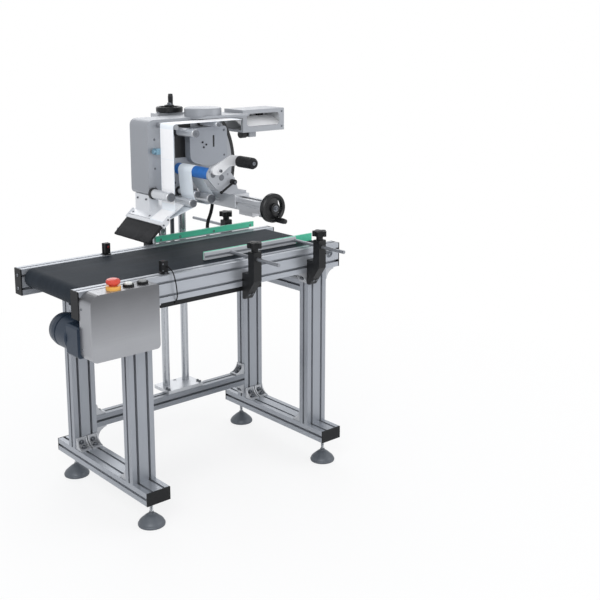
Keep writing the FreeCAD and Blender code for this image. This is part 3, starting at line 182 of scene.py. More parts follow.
class Graph:
    """Node tree of one material."""

    def __init__(self, tree: bpy.types.NodeTree) -> None:
        """Empties the tree and keeps it."""
        self.tree = tree
        tree.nodes.clear()

    def node(self, kind: str, settings: dict, inputs: dict) -> bpy.types.Node:
        """Adds a node, sets it, then fills its sockets.

        Args:
            kind: Node type.
            settings: Properties; "stops" fills a colour ramp.
            inputs: Socket name or index to a value or a link.

        Returns:
            The node.
        """
        made = self.tree.nodes.new(kind)
        for name, value in settings.items():
            if name == "stops":
                self._fill_ramp(made.color_ramp, value)
            else:
                setattr(made, name, value)
        for key, value in inputs.items():
            socket = made.inputs[key]
            if isinstance(value, Value):
                self.tree.links.new(value.socket, socket)
            else:
                socket.default_value = value
        return made

    @staticmethod
    def _fill_ramp(ramp: bpy.types.ColorRamp, stops: Sequence[tuple[float, tuple]]) -> None:
        """Sets a ramp's stops.

        Args:
            ramp: The ramp.
            stops: Positions with their colours.
        """
        while len(ramp.elements) < len(stops):
            ramp.elements.new(0.5)
        for element, (position, colour) in zip(ramp.elements, stops):
            element.position = position
            element.color = (*colour, 1.0)

    def value(self, kind: str, settings: dict, inputs: dict, output: int | str = 0) -> Value:
        """Adds a node and returns one of its outputs."""
        return Value(self, self.node(kind, settings, inputs).outputs[output])

    def place(self) -> Value:
        """Position on the object, which is the row frame for a part of the frame model."""
        return self.value("ShaderNodeTexCoord", {}, {}, "Object")

    def axis(self, position: Value, letter: str) -> Value:
        """One coordinate of a position."""
        return self.value("ShaderNodeSeparateXYZ", {}, {0: position}, letter)

    def stretched(self, position: Value, scale: Sequence[float]) -> Value:
        """Position with each axis scaled."""
        return self.value("ShaderNodeVectorMath", {"operation": "MULTIPLY"}, {0: position, 1: tuple(scale)})

    def noise(self, position: Value, scale: float, detail: float = 3.0) -> Value:
        """Soft noise from 0 to 1.

        Args:
            position: Where it is read.
            scale: Features per metre.
            detail: Octaves.

        Returns:
            The noise.
        """
        return self.value("ShaderNodeTexNoise", {}, {"Vector": position, "Scale": scale, "Detail": detail}, 0)

    def mixed(self, share: Value, low: "Value | tuple", high: "Value | tuple") -> Value:
        """Colour between two colours."""
        return self.value("ShaderNodeMix", {"data_type": "RGBA"}, {0: share, 6: low, 7: high}, 2)


class Pattern(Enum):
    """Surface structure of a finish."""

    EXTRUDED_X = (4.0, 900.0, 900.0)
    EXTRUDED_Y = (900.0, 4.0, 900.0)
    EXTRUDED_Z = (900.0, 900.0, 4.0)
    BRUSHED_X = (12.0, 1400.0, 1400.0)
    TURNED_Y = (40.0, 1800.0, 40.0)
    CAST = (700.0, 700.0, 700.0)
    POWDER = (1100.0, 1100.0, 1100.0)
    MOULDED = (2200.0, 2200.0, 2200.0)
    SMOOTH = (60.0, 60.0, 60.0)


def rgba(colour: Sequence[float], gain: float = 1.0) -> tuple[float, float, float, float]:
    """Colour with full alpha, made lighter or darker by gain."""
    return (min(colour[0] * gain, 1.0), min(colour[1] * gain, 1.0), min(colour[2] * gain, 1.0), 1.0)


@dataclass(frozen=True)
class Finish:
    """A surface finish made of procedural nodes."""

    name: str
    slot: str
    colour: tuple[float, float, float]
    metallic: float = 0.0
    roughness: float = 0.5
    pattern: Pattern = Pattern.SMOOTH
    spread: float = 0.06
    rough_spread: float = 0.12
    relief: float = 0.00002
    coat: float = 0.0
    gloss: float = 0.5

    def material(self) -> bpy.types.Material:
        """Builds the finish once and returns its material."""
        ready = bpy.data.materials.get(self.name)
        if ready is not None and ready.use_nodes and ready.get("built"):
            return ready
        made = bpy.data.materials.new(self.name)
        made.use_nodes = True
        made["built"] = True
        graph = Graph(made.node_tree)
        shader = self.surface(graph)
        graph.node("ShaderNodeOutputMaterial", {}, {"Surface": shader})
        return made

    def surface(self, graph: Graph) -> Value:
        """Principled shader of the finish.

        Args:
            graph: Tree to build in.

        Returns:
            The shader output.
        """
        position = graph.place()
        fine = graph.noise(graph.stretched(position, self.pattern.value), 1.0, 2.0)
        broad = graph.noise(position, 9.0, 3.0)
        colour = self.tone(graph, position, fine, broad)
        rough = self.sheen(graph, position, fine, broad)
        height = self.height(graph, position, fine)
        bump = graph.value("ShaderNodeBump", {}, {"Strength": 1.0, "Distance": self.relief, "Height": height})
        inputs = {"Base Color": colour, "Metallic": self.metal(graph, position), "Roughness": rough, "Normal": bump,
                  "Coat Weight": self.coat, "Coat Roughness": 0.25, "Specular IOR Level": self.gloss}
        return graph.value("ShaderNodeBsdfPrincipled", {}, inputs)

    def tone(self, graph: Graph, position: Value, fine: Value, broad: Value) -> Value:
        """Base colour: slow and fine variation about the written colour."""
        share = (fine * 0.5 + broad * 0.5 - 0.5) * 2.4 + 0.5
        return graph.mixed(share.clamped(), rgba(self.colour, 1 - self.spread), rgba(self.colour, 1 + self.spread))

    def sheen(self, graph: Graph, position: Value, fine: Value, broad: Value) -> Value:
        """Roughness: handled and streaked areas differ a little."""
        return ((fine - 0.5) * self.rough_spread + (broad - 0.5) * self.rough_spread + self.roughness).clamped()

    def metal(self, graph: Graph, position: Value) -> "Value | float":
        """Metallic share."""
        return self.metallic

    def height(self, graph: Graph, position: Value, fine: Value) -> Value:
        """Relief that the bump follows."""
        return fine


@dataclass(frozen=True)
class TwoZone(Finish):
    """Finish with a second colour beyond a plane across the part."""

    letter: str = "Y"
    border: float = 0.0
    beyond: tuple[float, float, float] = (0.03, 0.03, 0.03)
    beyond_metallic: float = 0.0
    beyond_roughness: float = 0.5

    def far_side(self, graph: Graph, position: Value) -> Value:
        """1 beyond the border."""
        return graph.axis(position, self.letter) > self.border

    def tone(self, graph: Graph, position: Value, fine: Value, broad: Value) -> Value:
        """Two colours, each with its variation."""
        near = super().tone(graph, position, fine, broad)
        share = ((fine - 0.5) * 1.6 + 0.5).clamped()
        far = graph.mixed(share, rgba(self.beyond, 0.85), rgba(self.beyond, 1.15))
        return graph.mixed(self.far_side(graph, position), near, far)

    def sheen(self, graph: Graph, position: Value, fine: Value, broad: Value) -> Value:
        """Two roughness levels."""
        near = super().sheen(graph, position, fine, broad)
        return near + self.far_side(graph, position) * (self.beyond_roughness - self.roughness)

    def metal(self, graph: Graph, position: Value) -> Value:
        """Two metallic shares."""
        return self.far_side(graph, position) * (self.beyond_metallic - self.metallic) + self.metallic


@dataclass(frozen=True)
class Threaded(TwoZone):
    """Screw thread round an axis, on the side of the border where threaded is 1."""

    centre: tuple[float, float] = (0.0, 0.0)
    pitch: float = 0.004
    along: str = "Z"
    across: tuple[str, str] = ("X", "Y")
    thread_beyond: bool = True

    def height(self, graph: Graph, position: Value, fine: Value) -> Value:
        """Helical ridges."""
        first = graph.axis(position, self.across[0]) - self.centre[0]
        second = graph.axis(position, self.across[1]) - self.centre[1]
        turn = graph.axis(position, self.along) * (2 * math.pi / self.pitch) + second.angle(first)
        zone = self.far_side(graph, position) if self.thread_beyond else 1 - self.far_side(graph, position)
        return turn.wave() * zone * 20.0 + fine


@dataclass(frozen=True)
class ShadedCoverSheet(Finish):
    """Brushed sheet with painted shade on its front, darker towards its upper edge; the top face and the left side past
    the bend keep the plain colour.
    """

    shade_start_z: float = 590.0
    shade_full_z: float = 722.0
    shade_gain: float = 0.42
    bend_x: float = -527.0
    bend_width: float = 4.0
    bend_gain: float = 1.0

    def tone(self, graph: Graph, position: Value, fine: Value, broad: Value) -> Value:
        """Brushed tone, with painted shade on the front between the two heights."""
        unshaded = super().tone(graph, position, fine, broad)
        # Painted shade: the front face darkens upwards from the lower height to the upper one; the top face and the
        # side past bend_x stay unshaded.
        low = at(0, 0, self.shade_start_z).z
        span = at(0, 0, self.shade_full_z).z - low
        share = ((graph.axis(position, "Z") - low) / span + (broad - 0.5) * 0.3).clamped()
        painted_shade = graph.mixed(fine, rgba(self.colour, self.shade_gain * 0.95), rgba(self.colour, self.shade_gain * 1.05))
        top = graph.axis(position, "Z") > at(0, 0, 734.6).z
        front = graph.mixed(share * (1 - top), unshaded, painted_shade)
        # The left side past the bend keeps the plain colour, lighter than the shaded front.
        across = (graph.axis(position, "X") - at(self.bend_x, 0, 0).x) / (self.bend_width * MM)
        return graph.mixed((0 - across).clamped(), front, rgba(self.colour, self.bend_gain))


@dataclass(frozen=True)
class BeltFabric(Finish):
    """Conveyor belt: fine cross weave under a rubber face, with faint lengthwise wear."""

    thread: float = 0.0012

    def height(self, graph: Graph, position: Value, fine: Value) -> Value:
        """Weave relief."""
        along = (graph.axis(position, "X") * (2 * math.pi / self.thread)).wave()
        across = (graph.axis(position, "Y") * (2 * math.pi / self.thread)).wave()
        return along * across * 0.6 + fine

    def tone(self, graph: Graph, position: Value, fine: Value, broad: Value) -> Value:
        """Dark face with paler streaks where products run."""
        streak = graph.noise(graph.stretched(position, (1.2, 60.0, 1.0)), 1.0, 4.0)
        share = ((streak - 0.45) * 1.8 + (fine - 0.5) * 0.7 + 0.3).clamped()
        return graph.mixed(share, rgba(self.colour, 1 - self.spread), rgba(self.colour, 1 + self.spread))


@dataclass(frozen=True)
class RearPaint(Finish):
    """Grey paint with a black field at the upper left and a black bowed rim."""

    field_x: tuple[float, float] = (-43.0, 18.0)
    field_z: float = 1036.0
    rim_centre: tuple[float, float] = (-54.0, 1005.6)
    rim_start: float = 234.0
    black: tuple[float, float, float] = (0.012, 0.012, 0.013)

    def dark_share(self, graph: Graph, position: Value) -> Value:
        """1 on the black areas."""
        across = graph.axis(position, "X")
        up = graph.axis(position, "Z")
        left = (across > at(self.field_x[0], 0, 0).x) * (across < at(self.field_x[1], 0, 0).x)
        corner = left * (up > at(0, 0, self.field_z).z)
        centre = at(self.rim_centre[0], 0, self.rim_centre[1])
        reach = ((across - centre.x) ** 2.0 + (up - centre.z) ** 2.0) ** 0.5
        return (corner + (reach > self.rim_start * MM)).clamped()

    def tone(self, graph: Graph, position: Value, fine: Value, broad: Value) -> Value:
        """Grey and black, each with its variation."""
        grey = super().tone(graph, position, fine, broad)
        black = graph.mixed(fine, rgba(self.black, 0.8), rgba(self.black, 1.3))
        return graph.mixed(self.dark_share(graph, position), grey, black)


@dataclass(frozen=True)
class BoxPaint(Finish):
    """Painted box whose inner walls carry painted light, a bright colour in place of light falling inside, with a black
    knob below and a black block inside.
    """

    room: tuple[tuple[float, float], ...] = ((229.5, 405.5), (53.0, 400.0), (1098.5, 1169.5))
    knob: tuple[tuple[float, float], ...] = ((240.0, 277.4), (53.0, 400.0), (1060.0, 1096.4))
    block: tuple[tuple[float, float], ...] = ((361.0, 379.0), (120.0, 400.0), (1131.0, 1153.0))
    # Painted light: bright colour laid on the inner walls, which the box's own shade would leave dark.
    painted_light: tuple[float, float, float] = (0.78, 0.79, 0.8)
    black: tuple[float, float, float] = (0.012, 0.012, 0.013)

    def inside(self, graph: Graph, position: Value, spans: Sequence[tuple[float, float]]) -> Value:
        """1 between three pairs of planes.

        Args:
            graph: Node graph.
            position: Surface point.
            spans: Lowest and highest x, y and z in the drawing frame.

        Returns:
            The mask.
        """
        low, high = at(*(span[0] for span in spans)), at(*(span[1] for span in spans))
        masks = [(graph.axis(position, letter) > low[k]) * (graph.axis(position, letter) < high[k])
                 for k, letter in enumerate("XYZ")]
        return masks[0] * masks[1] * masks[2]

    def tone(self, graph: Graph, position: Value, fine: Value, broad: Value) -> Value:
        """Grey outside, painted light on the inner walls, black fittings."""
        outside = super().tone(graph, position, fine, broad)
        lit_walls = graph.mixed(self.inside(graph, position, self.room), outside, rgba(self.painted_light))
        dark = self.inside(graph, position, self.knob) + self.inside(graph, position, self.block)
        return graph.mixed(dark.clamped(), lit_walls, rgba(self.black))


@dataclass(frozen=True)
class Bristle(Finish):
    """Dark hair bundle with lighter single hairs."""

    def tone(self, graph: Graph, position: Value, fine: Value, broad: Value) -> Value:
        """Hair by hair variation across the brush."""
        hair = graph.noise(graph.stretched(position, (20.0, 2600.0, 20.0)), 1.0, 1.0)
        share = ((hair - 0.5) * 3.0 + 0.4).clamped()
        return graph.mixed(share, rgba(self.colour, 0.55), rgba(self.colour, 1.8))


BLACK = srgb(17, 18, 20)
# One anodised colour at four levels: the rails along x are painted lighter and the uprights and the stretcher painted
# darker, as painted light and shade.
PROFILE_X_LIT = Finish("profile_along_x_lit", "anodised_profile", srgb(176, 180, 186), 0.6, 0.36, Pattern.EXTRUDED_X, 0.05)
PROFILE_Y = Finish("profile_along_y", "anodised_profile", srgb(166, 170, 176), 0.6, 0.36, Pattern.EXTRUDED_Y, 0.05)
PROFILE_SHADED_LOW = Finish("profile_stretcher_shaded", "anodised_profile", srgb(140, 144, 150), 0.6, 0.36, Pattern.EXTRUDED_X, 0.05)
PROFILE_Z_SHADED = Finish("profile_upright_shaded", "anodised_profile", srgb(157, 161, 167), 0.6, 0.36, Pattern.EXTRUDED_Z, 0.05)
CAST_ALUMINIUM = Finish("cast_aluminium", "cast_aluminium", srgb(190, 192, 195), 0.7, 0.5, Pattern.CAST, 0.1, 0.2,
                        0.0002)
BLACK_PLASTIC = Finish("black_plastic", "black_plastic", BLACK, 0.0, 0.48, Pattern.MOULDED, 0.2, 0.15, 0.00004,
                       0.0, 0.3)
FOOT_GREY = Finish("foot_grey", "foot_grey", srgb(92, 97, 103), 0.15, 0.38, Pattern.MOULDED, 0.15, 0.15, 0.00005)
BELT = BeltFabric("belt_rubber", "belt_rubber", srgb(41, 47, 54), 0.0, 0.62, Pattern.CAST, 0.22, 0.1, 0.00006, 0.0, 0.1)
ZINC = Finish("zinc_sheet", "zinc_sheet", srgb(196, 198, 200), 0.9, 0.38, Pattern.SMOOTH, 0.1, 0.2)
STEEL = Finish("turned_steel", "roller_steel", srgb(202, 204, 206), 0.95, 0.26, Pattern.TURNED_Y, 0.06)
BLACK_RUBBER = Finish("black_rubber", "black_rubber", srgb(14, 14, 16), 0.0, 0.6, Pattern.MOULDED, 0.2, 0.15,
                      0.00004, 0.0, 0.35)
# Cover finish with painted shade on the upper part of its front.
COVER = ShadedCoverSheet("brushed_cover", "cover_steel", srgb(166, 167, 170), 0.8, 0.36, Pattern.BRUSHED_X, 0.06, 0.14,
                   0.00001)
NAVY = Finish("motor_navy", "motor_navy", srgb(33, 47, 63), 0.1, 0.4, Pattern.POWDER, 0.14, 0.15, 0.00008)
YELLOW = Finish("signal_yellow", "signal_yellow", srgb(236, 176, 84), 0.0, 0.35, Pattern.MOULDED, 0.06)
RED = Finish("signal_red", "signal_red", srgb(206, 62, 40), 0.0, 0.3, Pattern.MOULDED, 0.08, 0.1, 0.00001, 0.3)
WHITE_CAP = Finish("button_white", "button_white", srgb(222, 224, 220), 0.0, 0.35, Pattern.MOULDED, 0.05)
GREY_CAP = Finish("button_grey", "button_grey", srgb(150, 152, 152), 0.0, 0.35, Pattern.MOULDED, 0.05)
ARM_BLACK = Finish("bracket_black", "bracket_black", BLACK, 0.0, 0.45, Pattern.CAST, 0.2, 0.15, 0.0001, 0.0, 0.35)
FRONT_BAR = TwoZone("front_bar_anodised", "anodised_profile", srgb(150, 153, 158), 0.7, 0.36, Pattern.EXTRUDED_X,
                    0.05, 0.1, 0.00001, 0.0, 0.5, "Y", at(0, -113.4, 0).y, srgb(200, 203, 207), 0.2, 0.42)
BACK_BAR = TwoZone("back_bar_anodised", "anodised_profile", srgb(200, 203, 207), 0.2, 0.42, Pattern.EXTRUDED_X,
                   0.05, 0.1, 0.00001, 0.0, 0.5, "Y", at(0, 198.4, 0).y, srgb(150, 153, 158), 0.7, 0.36)
# Darker copy of the anodised colour: painted shade of the groove along each guide bar.
GROOVE_SHADE = Finish("bar_groove", "anodised_profile", srgb(128, 131, 136), 0.3, 0.5, Pattern.EXTRUDED_X, 0.06)
GREEN = Finish("strip_green", "strip_green", srgb(86, 208, 170), 0.0, 0.42, Pattern.EXTRUDED_X, 0.07, 0.12)
GROUND = Finish("ground_steel", "ground_steel", srgb(188, 191, 195), 0.95, 0.22, Pattern.TURNED_Y, 0.04)
SCREW = Finish("screw_steel", "screw_steel", srgb(118, 121, 126), 0.9, 0.34, Pattern.SMOOTH, 0.12)
MACHINED = Finish("machined_aluminium", "machined_aluminium", srgb(206, 208, 211), 0.75, 0.33, Pattern.BRUSHED_X, 0.06)
HEAD_PAINT = Finish("head_paint", "head_paint", srgb(160, 163, 168), 0.4, 0.4, Pattern.POWDER, 0.04, 0.1, 0.00003)
PLATE_GREY = Finish("bearing_plate_grey", "head_paint", srgb(176, 179, 184), 0.3, 0.42, Pattern.POWDER, 0.05, 0.1,
                    0.00003)
PEEL_SHEET = Finish("peel_sheet", "machined_aluminium", srgb(226, 228, 231), 0.35, 0.34, Pattern.BRUSHED_X, 0.05)
HEAD_GREY = Finish("housing_grey", "head_paint", srgb(154, 158, 165), 0.3, 0.42, Pattern.POWDER, 0.05, 0.1, 0.00003)
REAR_PAINT = RearPaint("rear_paint", "black_paint", srgb(166, 169, 174), 0.2, 0.42, Pattern.POWDER, 0.05, 0.1, 0.00003)
BOX_PAINT = BoxPaint("box_paint", "head_paint", srgb(160, 163, 168), 0.3, 0.4, Pattern.POWDER, 0.04, 0.1, 0.00003)
BLACK_PAINT = Finish("black_paint", "black_paint", srgb(26, 27, 29), 0.1, 0.4, Pattern.POWDER, 0.15, 0.12, 0.00004)
HAIR = Bristle("bristle_black", "bristle_black", srgb(22, 23, 26), 0.0, 0.5, Pattern.CAST, 0.3, 0.12, 0.00002,
               0.0, 0.35)
BACKING = Finish("backing_paper", "label_paper", srgb(242, 248, 254), 0.0, 0.38, Pattern.SMOOTH, 0.03, 0.1)
LABEL = Finish("label_white", "label_paper", srgb(253, 253, 254), 0.0, 0.5, Pattern.SMOOTH, 0.01, 0.1)
LENS = Finish("sensor_lens", "black_plastic", srgb(120, 30, 30), 0.0, 0.12, Pattern.SMOOTH, 0.1)
BLUE = TwoZone("pull_rubber", "blue_rubber", srgb(200, 203, 206), 0.9, 0.3, Pattern.SMOOTH, 0.08, 0.1, 0.00002, 0.0,
               0.5, "Y", at(0, -122.2, 0).y, srgb(34, 106, 184), 0.0, 0.45)
IDLER = TwoZone("guide_roller", "machined_aluminium", srgb(218, 220, 223), 0.45, 0.25, Pattern.TURNED_Y, 0.04, 0.1,
                0.00001, 0.0, 0.5, "Y", at(0, 42.5, 0).y, srgb(30, 31, 33), 0.0, 0.45)
LEVER_BRIGHT = Finish("lever_bright", "lever_chrome", srgb(226, 227, 229), 0.3, 0.3, Pattern.BRUSHED_X, 0.03, 0.1)
PIN = TwoZone("roller_pin", "screw_steel", srgb(150, 153, 157), 0.7, 0.35, Pattern.SMOOTH, 0.1, 0.1, 0.00001, 0.0,
              0.5, "Y", at(0, -45.2, 0).y, srgb(170, 172, 176), 0.9, 0.3)
SENSOR_BARREL = TwoZone("sensor_barrel", "machined_aluminium", srgb(128, 164, 182), 0.5, 0.3, Pattern.SMOOTH, 0.06,
                        0.1, 0.00001, 0.0, 0.5, "X", at(-92.2, 0, 0).x, srgb(16, 17, 19), 0.0, 0.5)
LIFT_THREAD = Threaded("lift_thread", "screw_steel", srgb(120, 123, 128), 0.9, 0.34, Pattern.SMOOTH, 0.1, 0.1, 0.00005,
                       0.0, 0.5, "Z", at(0, 0, 1157).z, srgb(190, 192, 195), 0.9, 0.3,
                       (at(50, 0, 0).x, at(0, 215, 0).y), 0.004, "Z", ("X", "Y"), False)
CROSS_THREAD = Threaded("cross_wheel_black", "wheel_black", srgb(15, 16, 18), 0.0, 0.36, Pattern.MOULDED, 0.15, 0.1,
                        0.00005, 0.1, 0.4, "Y", at(0, -280.5, 0).y, srgb(170, 172, 176), 0.9, 0.32,
                        (at(70.5, 0, 0).x, at(0, 0, 911).z), 0.003, "Y", ("X", "Z"), True)
WHEEL_BLACK = Finish("wheel_black", "wheel_black", srgb(15, 16, 18), 0.0, 0.36, Pattern.MOULDED, 0.15, 0.1,
                     0.00004, 0.1, 0.4)

DRAWING = Matrix.Translation(at(0, 0, 0))
RAIL_ENDS = (-534.5, 442.5)
RAIL_Y = 170.0
Ring = tuple[float, float, int]


class Form:
    """A mesh under construction, in metres in the row frame."""

    def __init__(self, name: str) -> None:
        """Starts an empty mesh."""
        self.name = name
        self.mesh = bmesh.new()

    def lathe(self, rings: Sequence[Ring], place: Matrix, steps: int = 24) -> "Form":
        """Adds a turned body.

        Args:
            rings: (radius, height, sides) in millimetres; sides 0 is round, 6 is a hexagon.
            place: Frame whose Z is the axis.
            steps: Points round a ring.

        Returns:
            The form.
        """
        rows = []
        for radius, height, sides in rings:
            row = []
            for k in range(steps):
                angle = 2 * math.pi * k / steps
                reach = radius
                if sides:
                    sector = 2 * math.pi / sides
                    reach = radius * math.cos(sector / 2) / math.cos(angle % sector - sector / 2)
                local = Vector((reach * math.cos(angle), reach * math.sin(angle), height)) * MM
                row.append(self.mesh.verts.new(place @ local))
            rows.append(row)
        for low, high in zip(rows, rows[1:]):
            for k in range(steps):
                self.mesh.faces.new((low[k], low[(k + 1) % steps], high[(k + 1) % steps], high[k]))
        self.mesh.faces.new(list(reversed(rows[0])))
        self.mesh.faces.new(rows[-1])
        return self

    def slab(self, outline: Sequence[tuple[float, float]], low: float, high: float, place: Matrix) -> "Form":
        """Adds a prism.

        Args:
            outline: Points (u, v) in millimetres, anticlockwise.
            low: Start along the frame's Z, in millimetres.
            high: End along the frame's Z, in millimetres.
            place: The frame.

        Returns:
            The form.
        """
        rows = [[self.mesh.verts.new(place @ (Vector((u, v, w)) * MM)) for u, v in outline] for w in (low, high)]
        count = len(outline)
        for k in range(count):
            self.mesh.faces.new((rows[0][k], rows[0][(k + 1) % count], rows[1][(k + 1) % count], rows[1][k]))
        self.mesh.faces.new(list(reversed(rows[0])))
        self.mesh.faces.new(rows[1])
        return self

    def cap_screw(self, place: Matrix, size: float) -> "Form":
        """Adds a socket head screw of a thread size in millimetres, standing on the frame's XY plane."""
        r = size * 0.8
        rings = [(r, -0.2, 0), (r, size * 0.75, 0), (r - 0.12 * size, size * 0.9, 0), (r * 0.62, size * 0.9, 0),
                 (size * 0.46, size * 0.86, 6), (size * 0.44, size * 0.35, 6), (size * 0.2, size * 0.3, 0)]
        return self.lathe(rings, place, 24)

    def button_screw(self, place: Matrix, size: float) -> "Form":
        """Adds a low domed screw with a hexagon recess."""
        rings = [(size * 0.9, -0.2, 0), (size * 0.88, size * 0.12, 0), (size * 0.72, size * 0.36, 0),
                 (size * 0.4, size * 0.5, 0), (size * 0.34, size * 0.48, 6), (size * 0.32, size * 0.2, 6),
                 (size * 0.1, size * 0.18, 0)]
        return self.lathe(rings, place, 24)

    def hex_nut(self, place: Matrix, width: float, height: float) -> "Form":
        """Adds a nut with chamfered corners, width across its flats in millimetres."""
        r = width / 2 / math.cos(math.pi / 6)
        rings = [(r * 0.9, -0.1, 0), (r, height * 0.15, 6), (r, height * 0.85, 6), (r * 0.88, height, 0),
                 (r * 0.5, height, 0), (r * 0.46, height * 0.7, 0)]
        return self.lathe(rings, place, 24)

    def done(self, body: str, finish: Finish, sharp: float = 34.0) -> bpy.types.Object:
        """Turns the form into a dressed piece.

        Args:
            body: Moving body that it rides on.
            finish: Its finish.
            sharp: Edge angle in degrees above which an edge stays sharp.

        Returns:
            The piece.
        """
        bmesh.ops.recalc_face_normals(self.mesh, faces=self.mesh.faces)
        for face in self.mesh.faces:
            face.smooth = True
        for edge in self.mesh.edges:
            edge.smooth = edge.calc_face_angle(0.0) < math.radians(sharp)
        data = bpy.data.meshes.new(self.name)
        self.mesh.to_mesh(data)
        self.mesh.free()
        data.materials.append(finish.material())
        piece = bpy.data.objects.new(self.name, data)
        bpy.context.scene.collection.objects.link(piece)
        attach(piece, body)
        LOG.info("%s on %s", self.name, body)
        return piece


def dress(node: str, finish: Finish, soften: float = 0.0) -> None:
    """Gives a carried-over node its finish.

    Args:
        node: Node name.
        finish: The finish.
        soften: Width in millimetres of a bevel along its sharp edges, 0 for none.
    """
    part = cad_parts[node]
    part.data.materials.clear()
    part.data.materials.append(finish.material())
    if soften > 0:
        edge = part.modifiers.new("soft_edges", "BEVEL")
        edge.width = soften * MM
        edge.segments = 2
        edge.limit_method = "ANGLE"
        edge.angle_limit = math.radians(40)
        edge.harden_normals = True
    LOG.info("%s dressed as %s", node, finish.name)


@dataclass
class ProfileFrame:
    """Slotted profile frame on levelling feet."""

    leg_x: float = 342.5
    inner_y: float = 150.0
    base_top: float = 124.0
    reach: float = 302.5
    stretcher: tuple[float, float] = (175.0, 215.0)
    rail_bottom: float = 656.0
    post_half: float = 40.0
    bracket_leg: float = 36.0
    bracket_wall: float = 5.0
    screw: float = 7.0
    foot_y: float = 223.0
    stem_foot: float = 37.8
    stem_pitch: float = 1.6
    stem_turns: int = 29

    def build(self) -> None:
        """Dresses the profiles and adds their fasteners."""
        dress("cross_profiles", PROFILE_Y)
        dress("posts", PROFILE_Z_SHADED)
        dress("stretcher", PROFILE_SHADED_LOW)
        dress("side_rails", PROFILE_X_LIT)
        dress("end_caps", BLACK_PLASTIC, 0.6)
        dress("corner_brackets", CAST_ALUMINIUM)
        self.bracket_screws()
        self.foot_nuts()
        self.feet()
        self.cap_bolts()

    def corners(self) -> list[tuple[Vector, Vector, Vector]]:
        """Corner point and the two leg directions of every cast angle."""
        found = []
        for x in (-self.leg_x, self.leg_x):
            for side in (-1, 1):
                for shift in (-20, 20):
                    found.append((Vector((x + shift, side * self.inner_y, self.base_top)), Y * -side, Z))
                for y in (-170, 170):
                    found.append((Vector((x + side * self.post_half, y, self.rail_bottom)), X * side, -Z))
        for side in (-1, 1):
            for z, up in zip(self.stretcher, (-Z, Z)):
                found.append((Vector((side * self.reach, 170, z)), X * -side, up))
        return found

    def bracket_screws(self) -> bpy.types.Object:
        """Two socket screws with washers in each cast angle."""
        form = Form("bracket_screws")
        middle = self.bracket_wall + (self.bracket_leg - self.bracket_wall) * 0.5
        for corner, along, up in self.corners():
            for run, normal in ((along, up), (up, along)):
                seat = facing(at(*(corner + run * middle + normal * self.bracket_wall)), normal)
                form.lathe([(8.5, -0.1, 0), (8.5, 1.4, 0), (8.1, 1.6, 0), (2.0, 1.6, 0)], seat)
                form.cap_screw(seat @ Matrix.Translation(Z * 0.0015), self.screw)
        return form.done("frame", SCREW)

    def feet(self) -> None:
        """Rounded cones of the levelling feet, and their threaded stems."""
        domes = Form("foot_domes")
        stems = Form("foot_stems")
        dome = [(37.5, 0.0, 0), (40.2, 1.0, 0), (40.8, 3.0, 0), (40.8, 6.0, 0), (39.9, 7.6, 0), (38.8, 8.4, 0),
                (38.2, 11.0, 0), (35.4, 15.0, 0), (31.2, 19.0, 0), (26.6, 23.0, 0), (21.6, 27.6, 0),
                (16.8, 31.6, 0), (12.4, 34.4, 0), (9.4, 36.4, 0), (8.4, 38.6, 0), (5.4, 39.0, 0)]
        for x in (-self.leg_x, self.leg_x):
            for y in (-self.foot_y, self.foot_y):
                domes.lathe(dome, facing(at(x, y, 0), Z), 48)
                rings = []
                for k in range(self.stem_turns):
                    root = self.stem_foot + k * self.stem_pitch
                    rings += [(4.6, root, 0), (5.2, root + self.stem_pitch / 2, 0)]
                stems.lathe(rings, facing(at(x, y, 0), Z), 20)
        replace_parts(domes.done("frame", FOOT_GREY), "levelling_feet")
        stems.done("frame", STEEL)

    def foot_nuts(self) -> bpy.types.Object:
        """Lock nut with a washer on each levelling foot, below the floor beam."""
        form = Form("foot_lock_nuts")
        for x in (-self.leg_x, self.leg_x):
            for y in (-self.foot_y, self.foot_y):
                form.lathe([(14, 0, 0), (14, 2, 0), (6.5, 2, 0)], facing(at(x, y, 81.6), Z))
                form.hex_nut(facing(at(x, y, 39.0), Z, 15), 12, 4)
        return form.done("frame", SCREW)

    def cap_bolts(self) -> bpy.types.Object:
        """Screws that hold the end caps of the side rails, none at the front left, where the gearmotor stands."""
        form = Form("cap_screws")
        left, right = RAIL_ENDS
        for x, y, side in ((left, RAIL_Y, -X), (right, -RAIL_Y, X), (right, RAIL_Y, X)):
            for z in (676, 716):
                form.button_screw(facing(at(x, y, z), side), 6.0)
        return form.done("frame", SCREW)


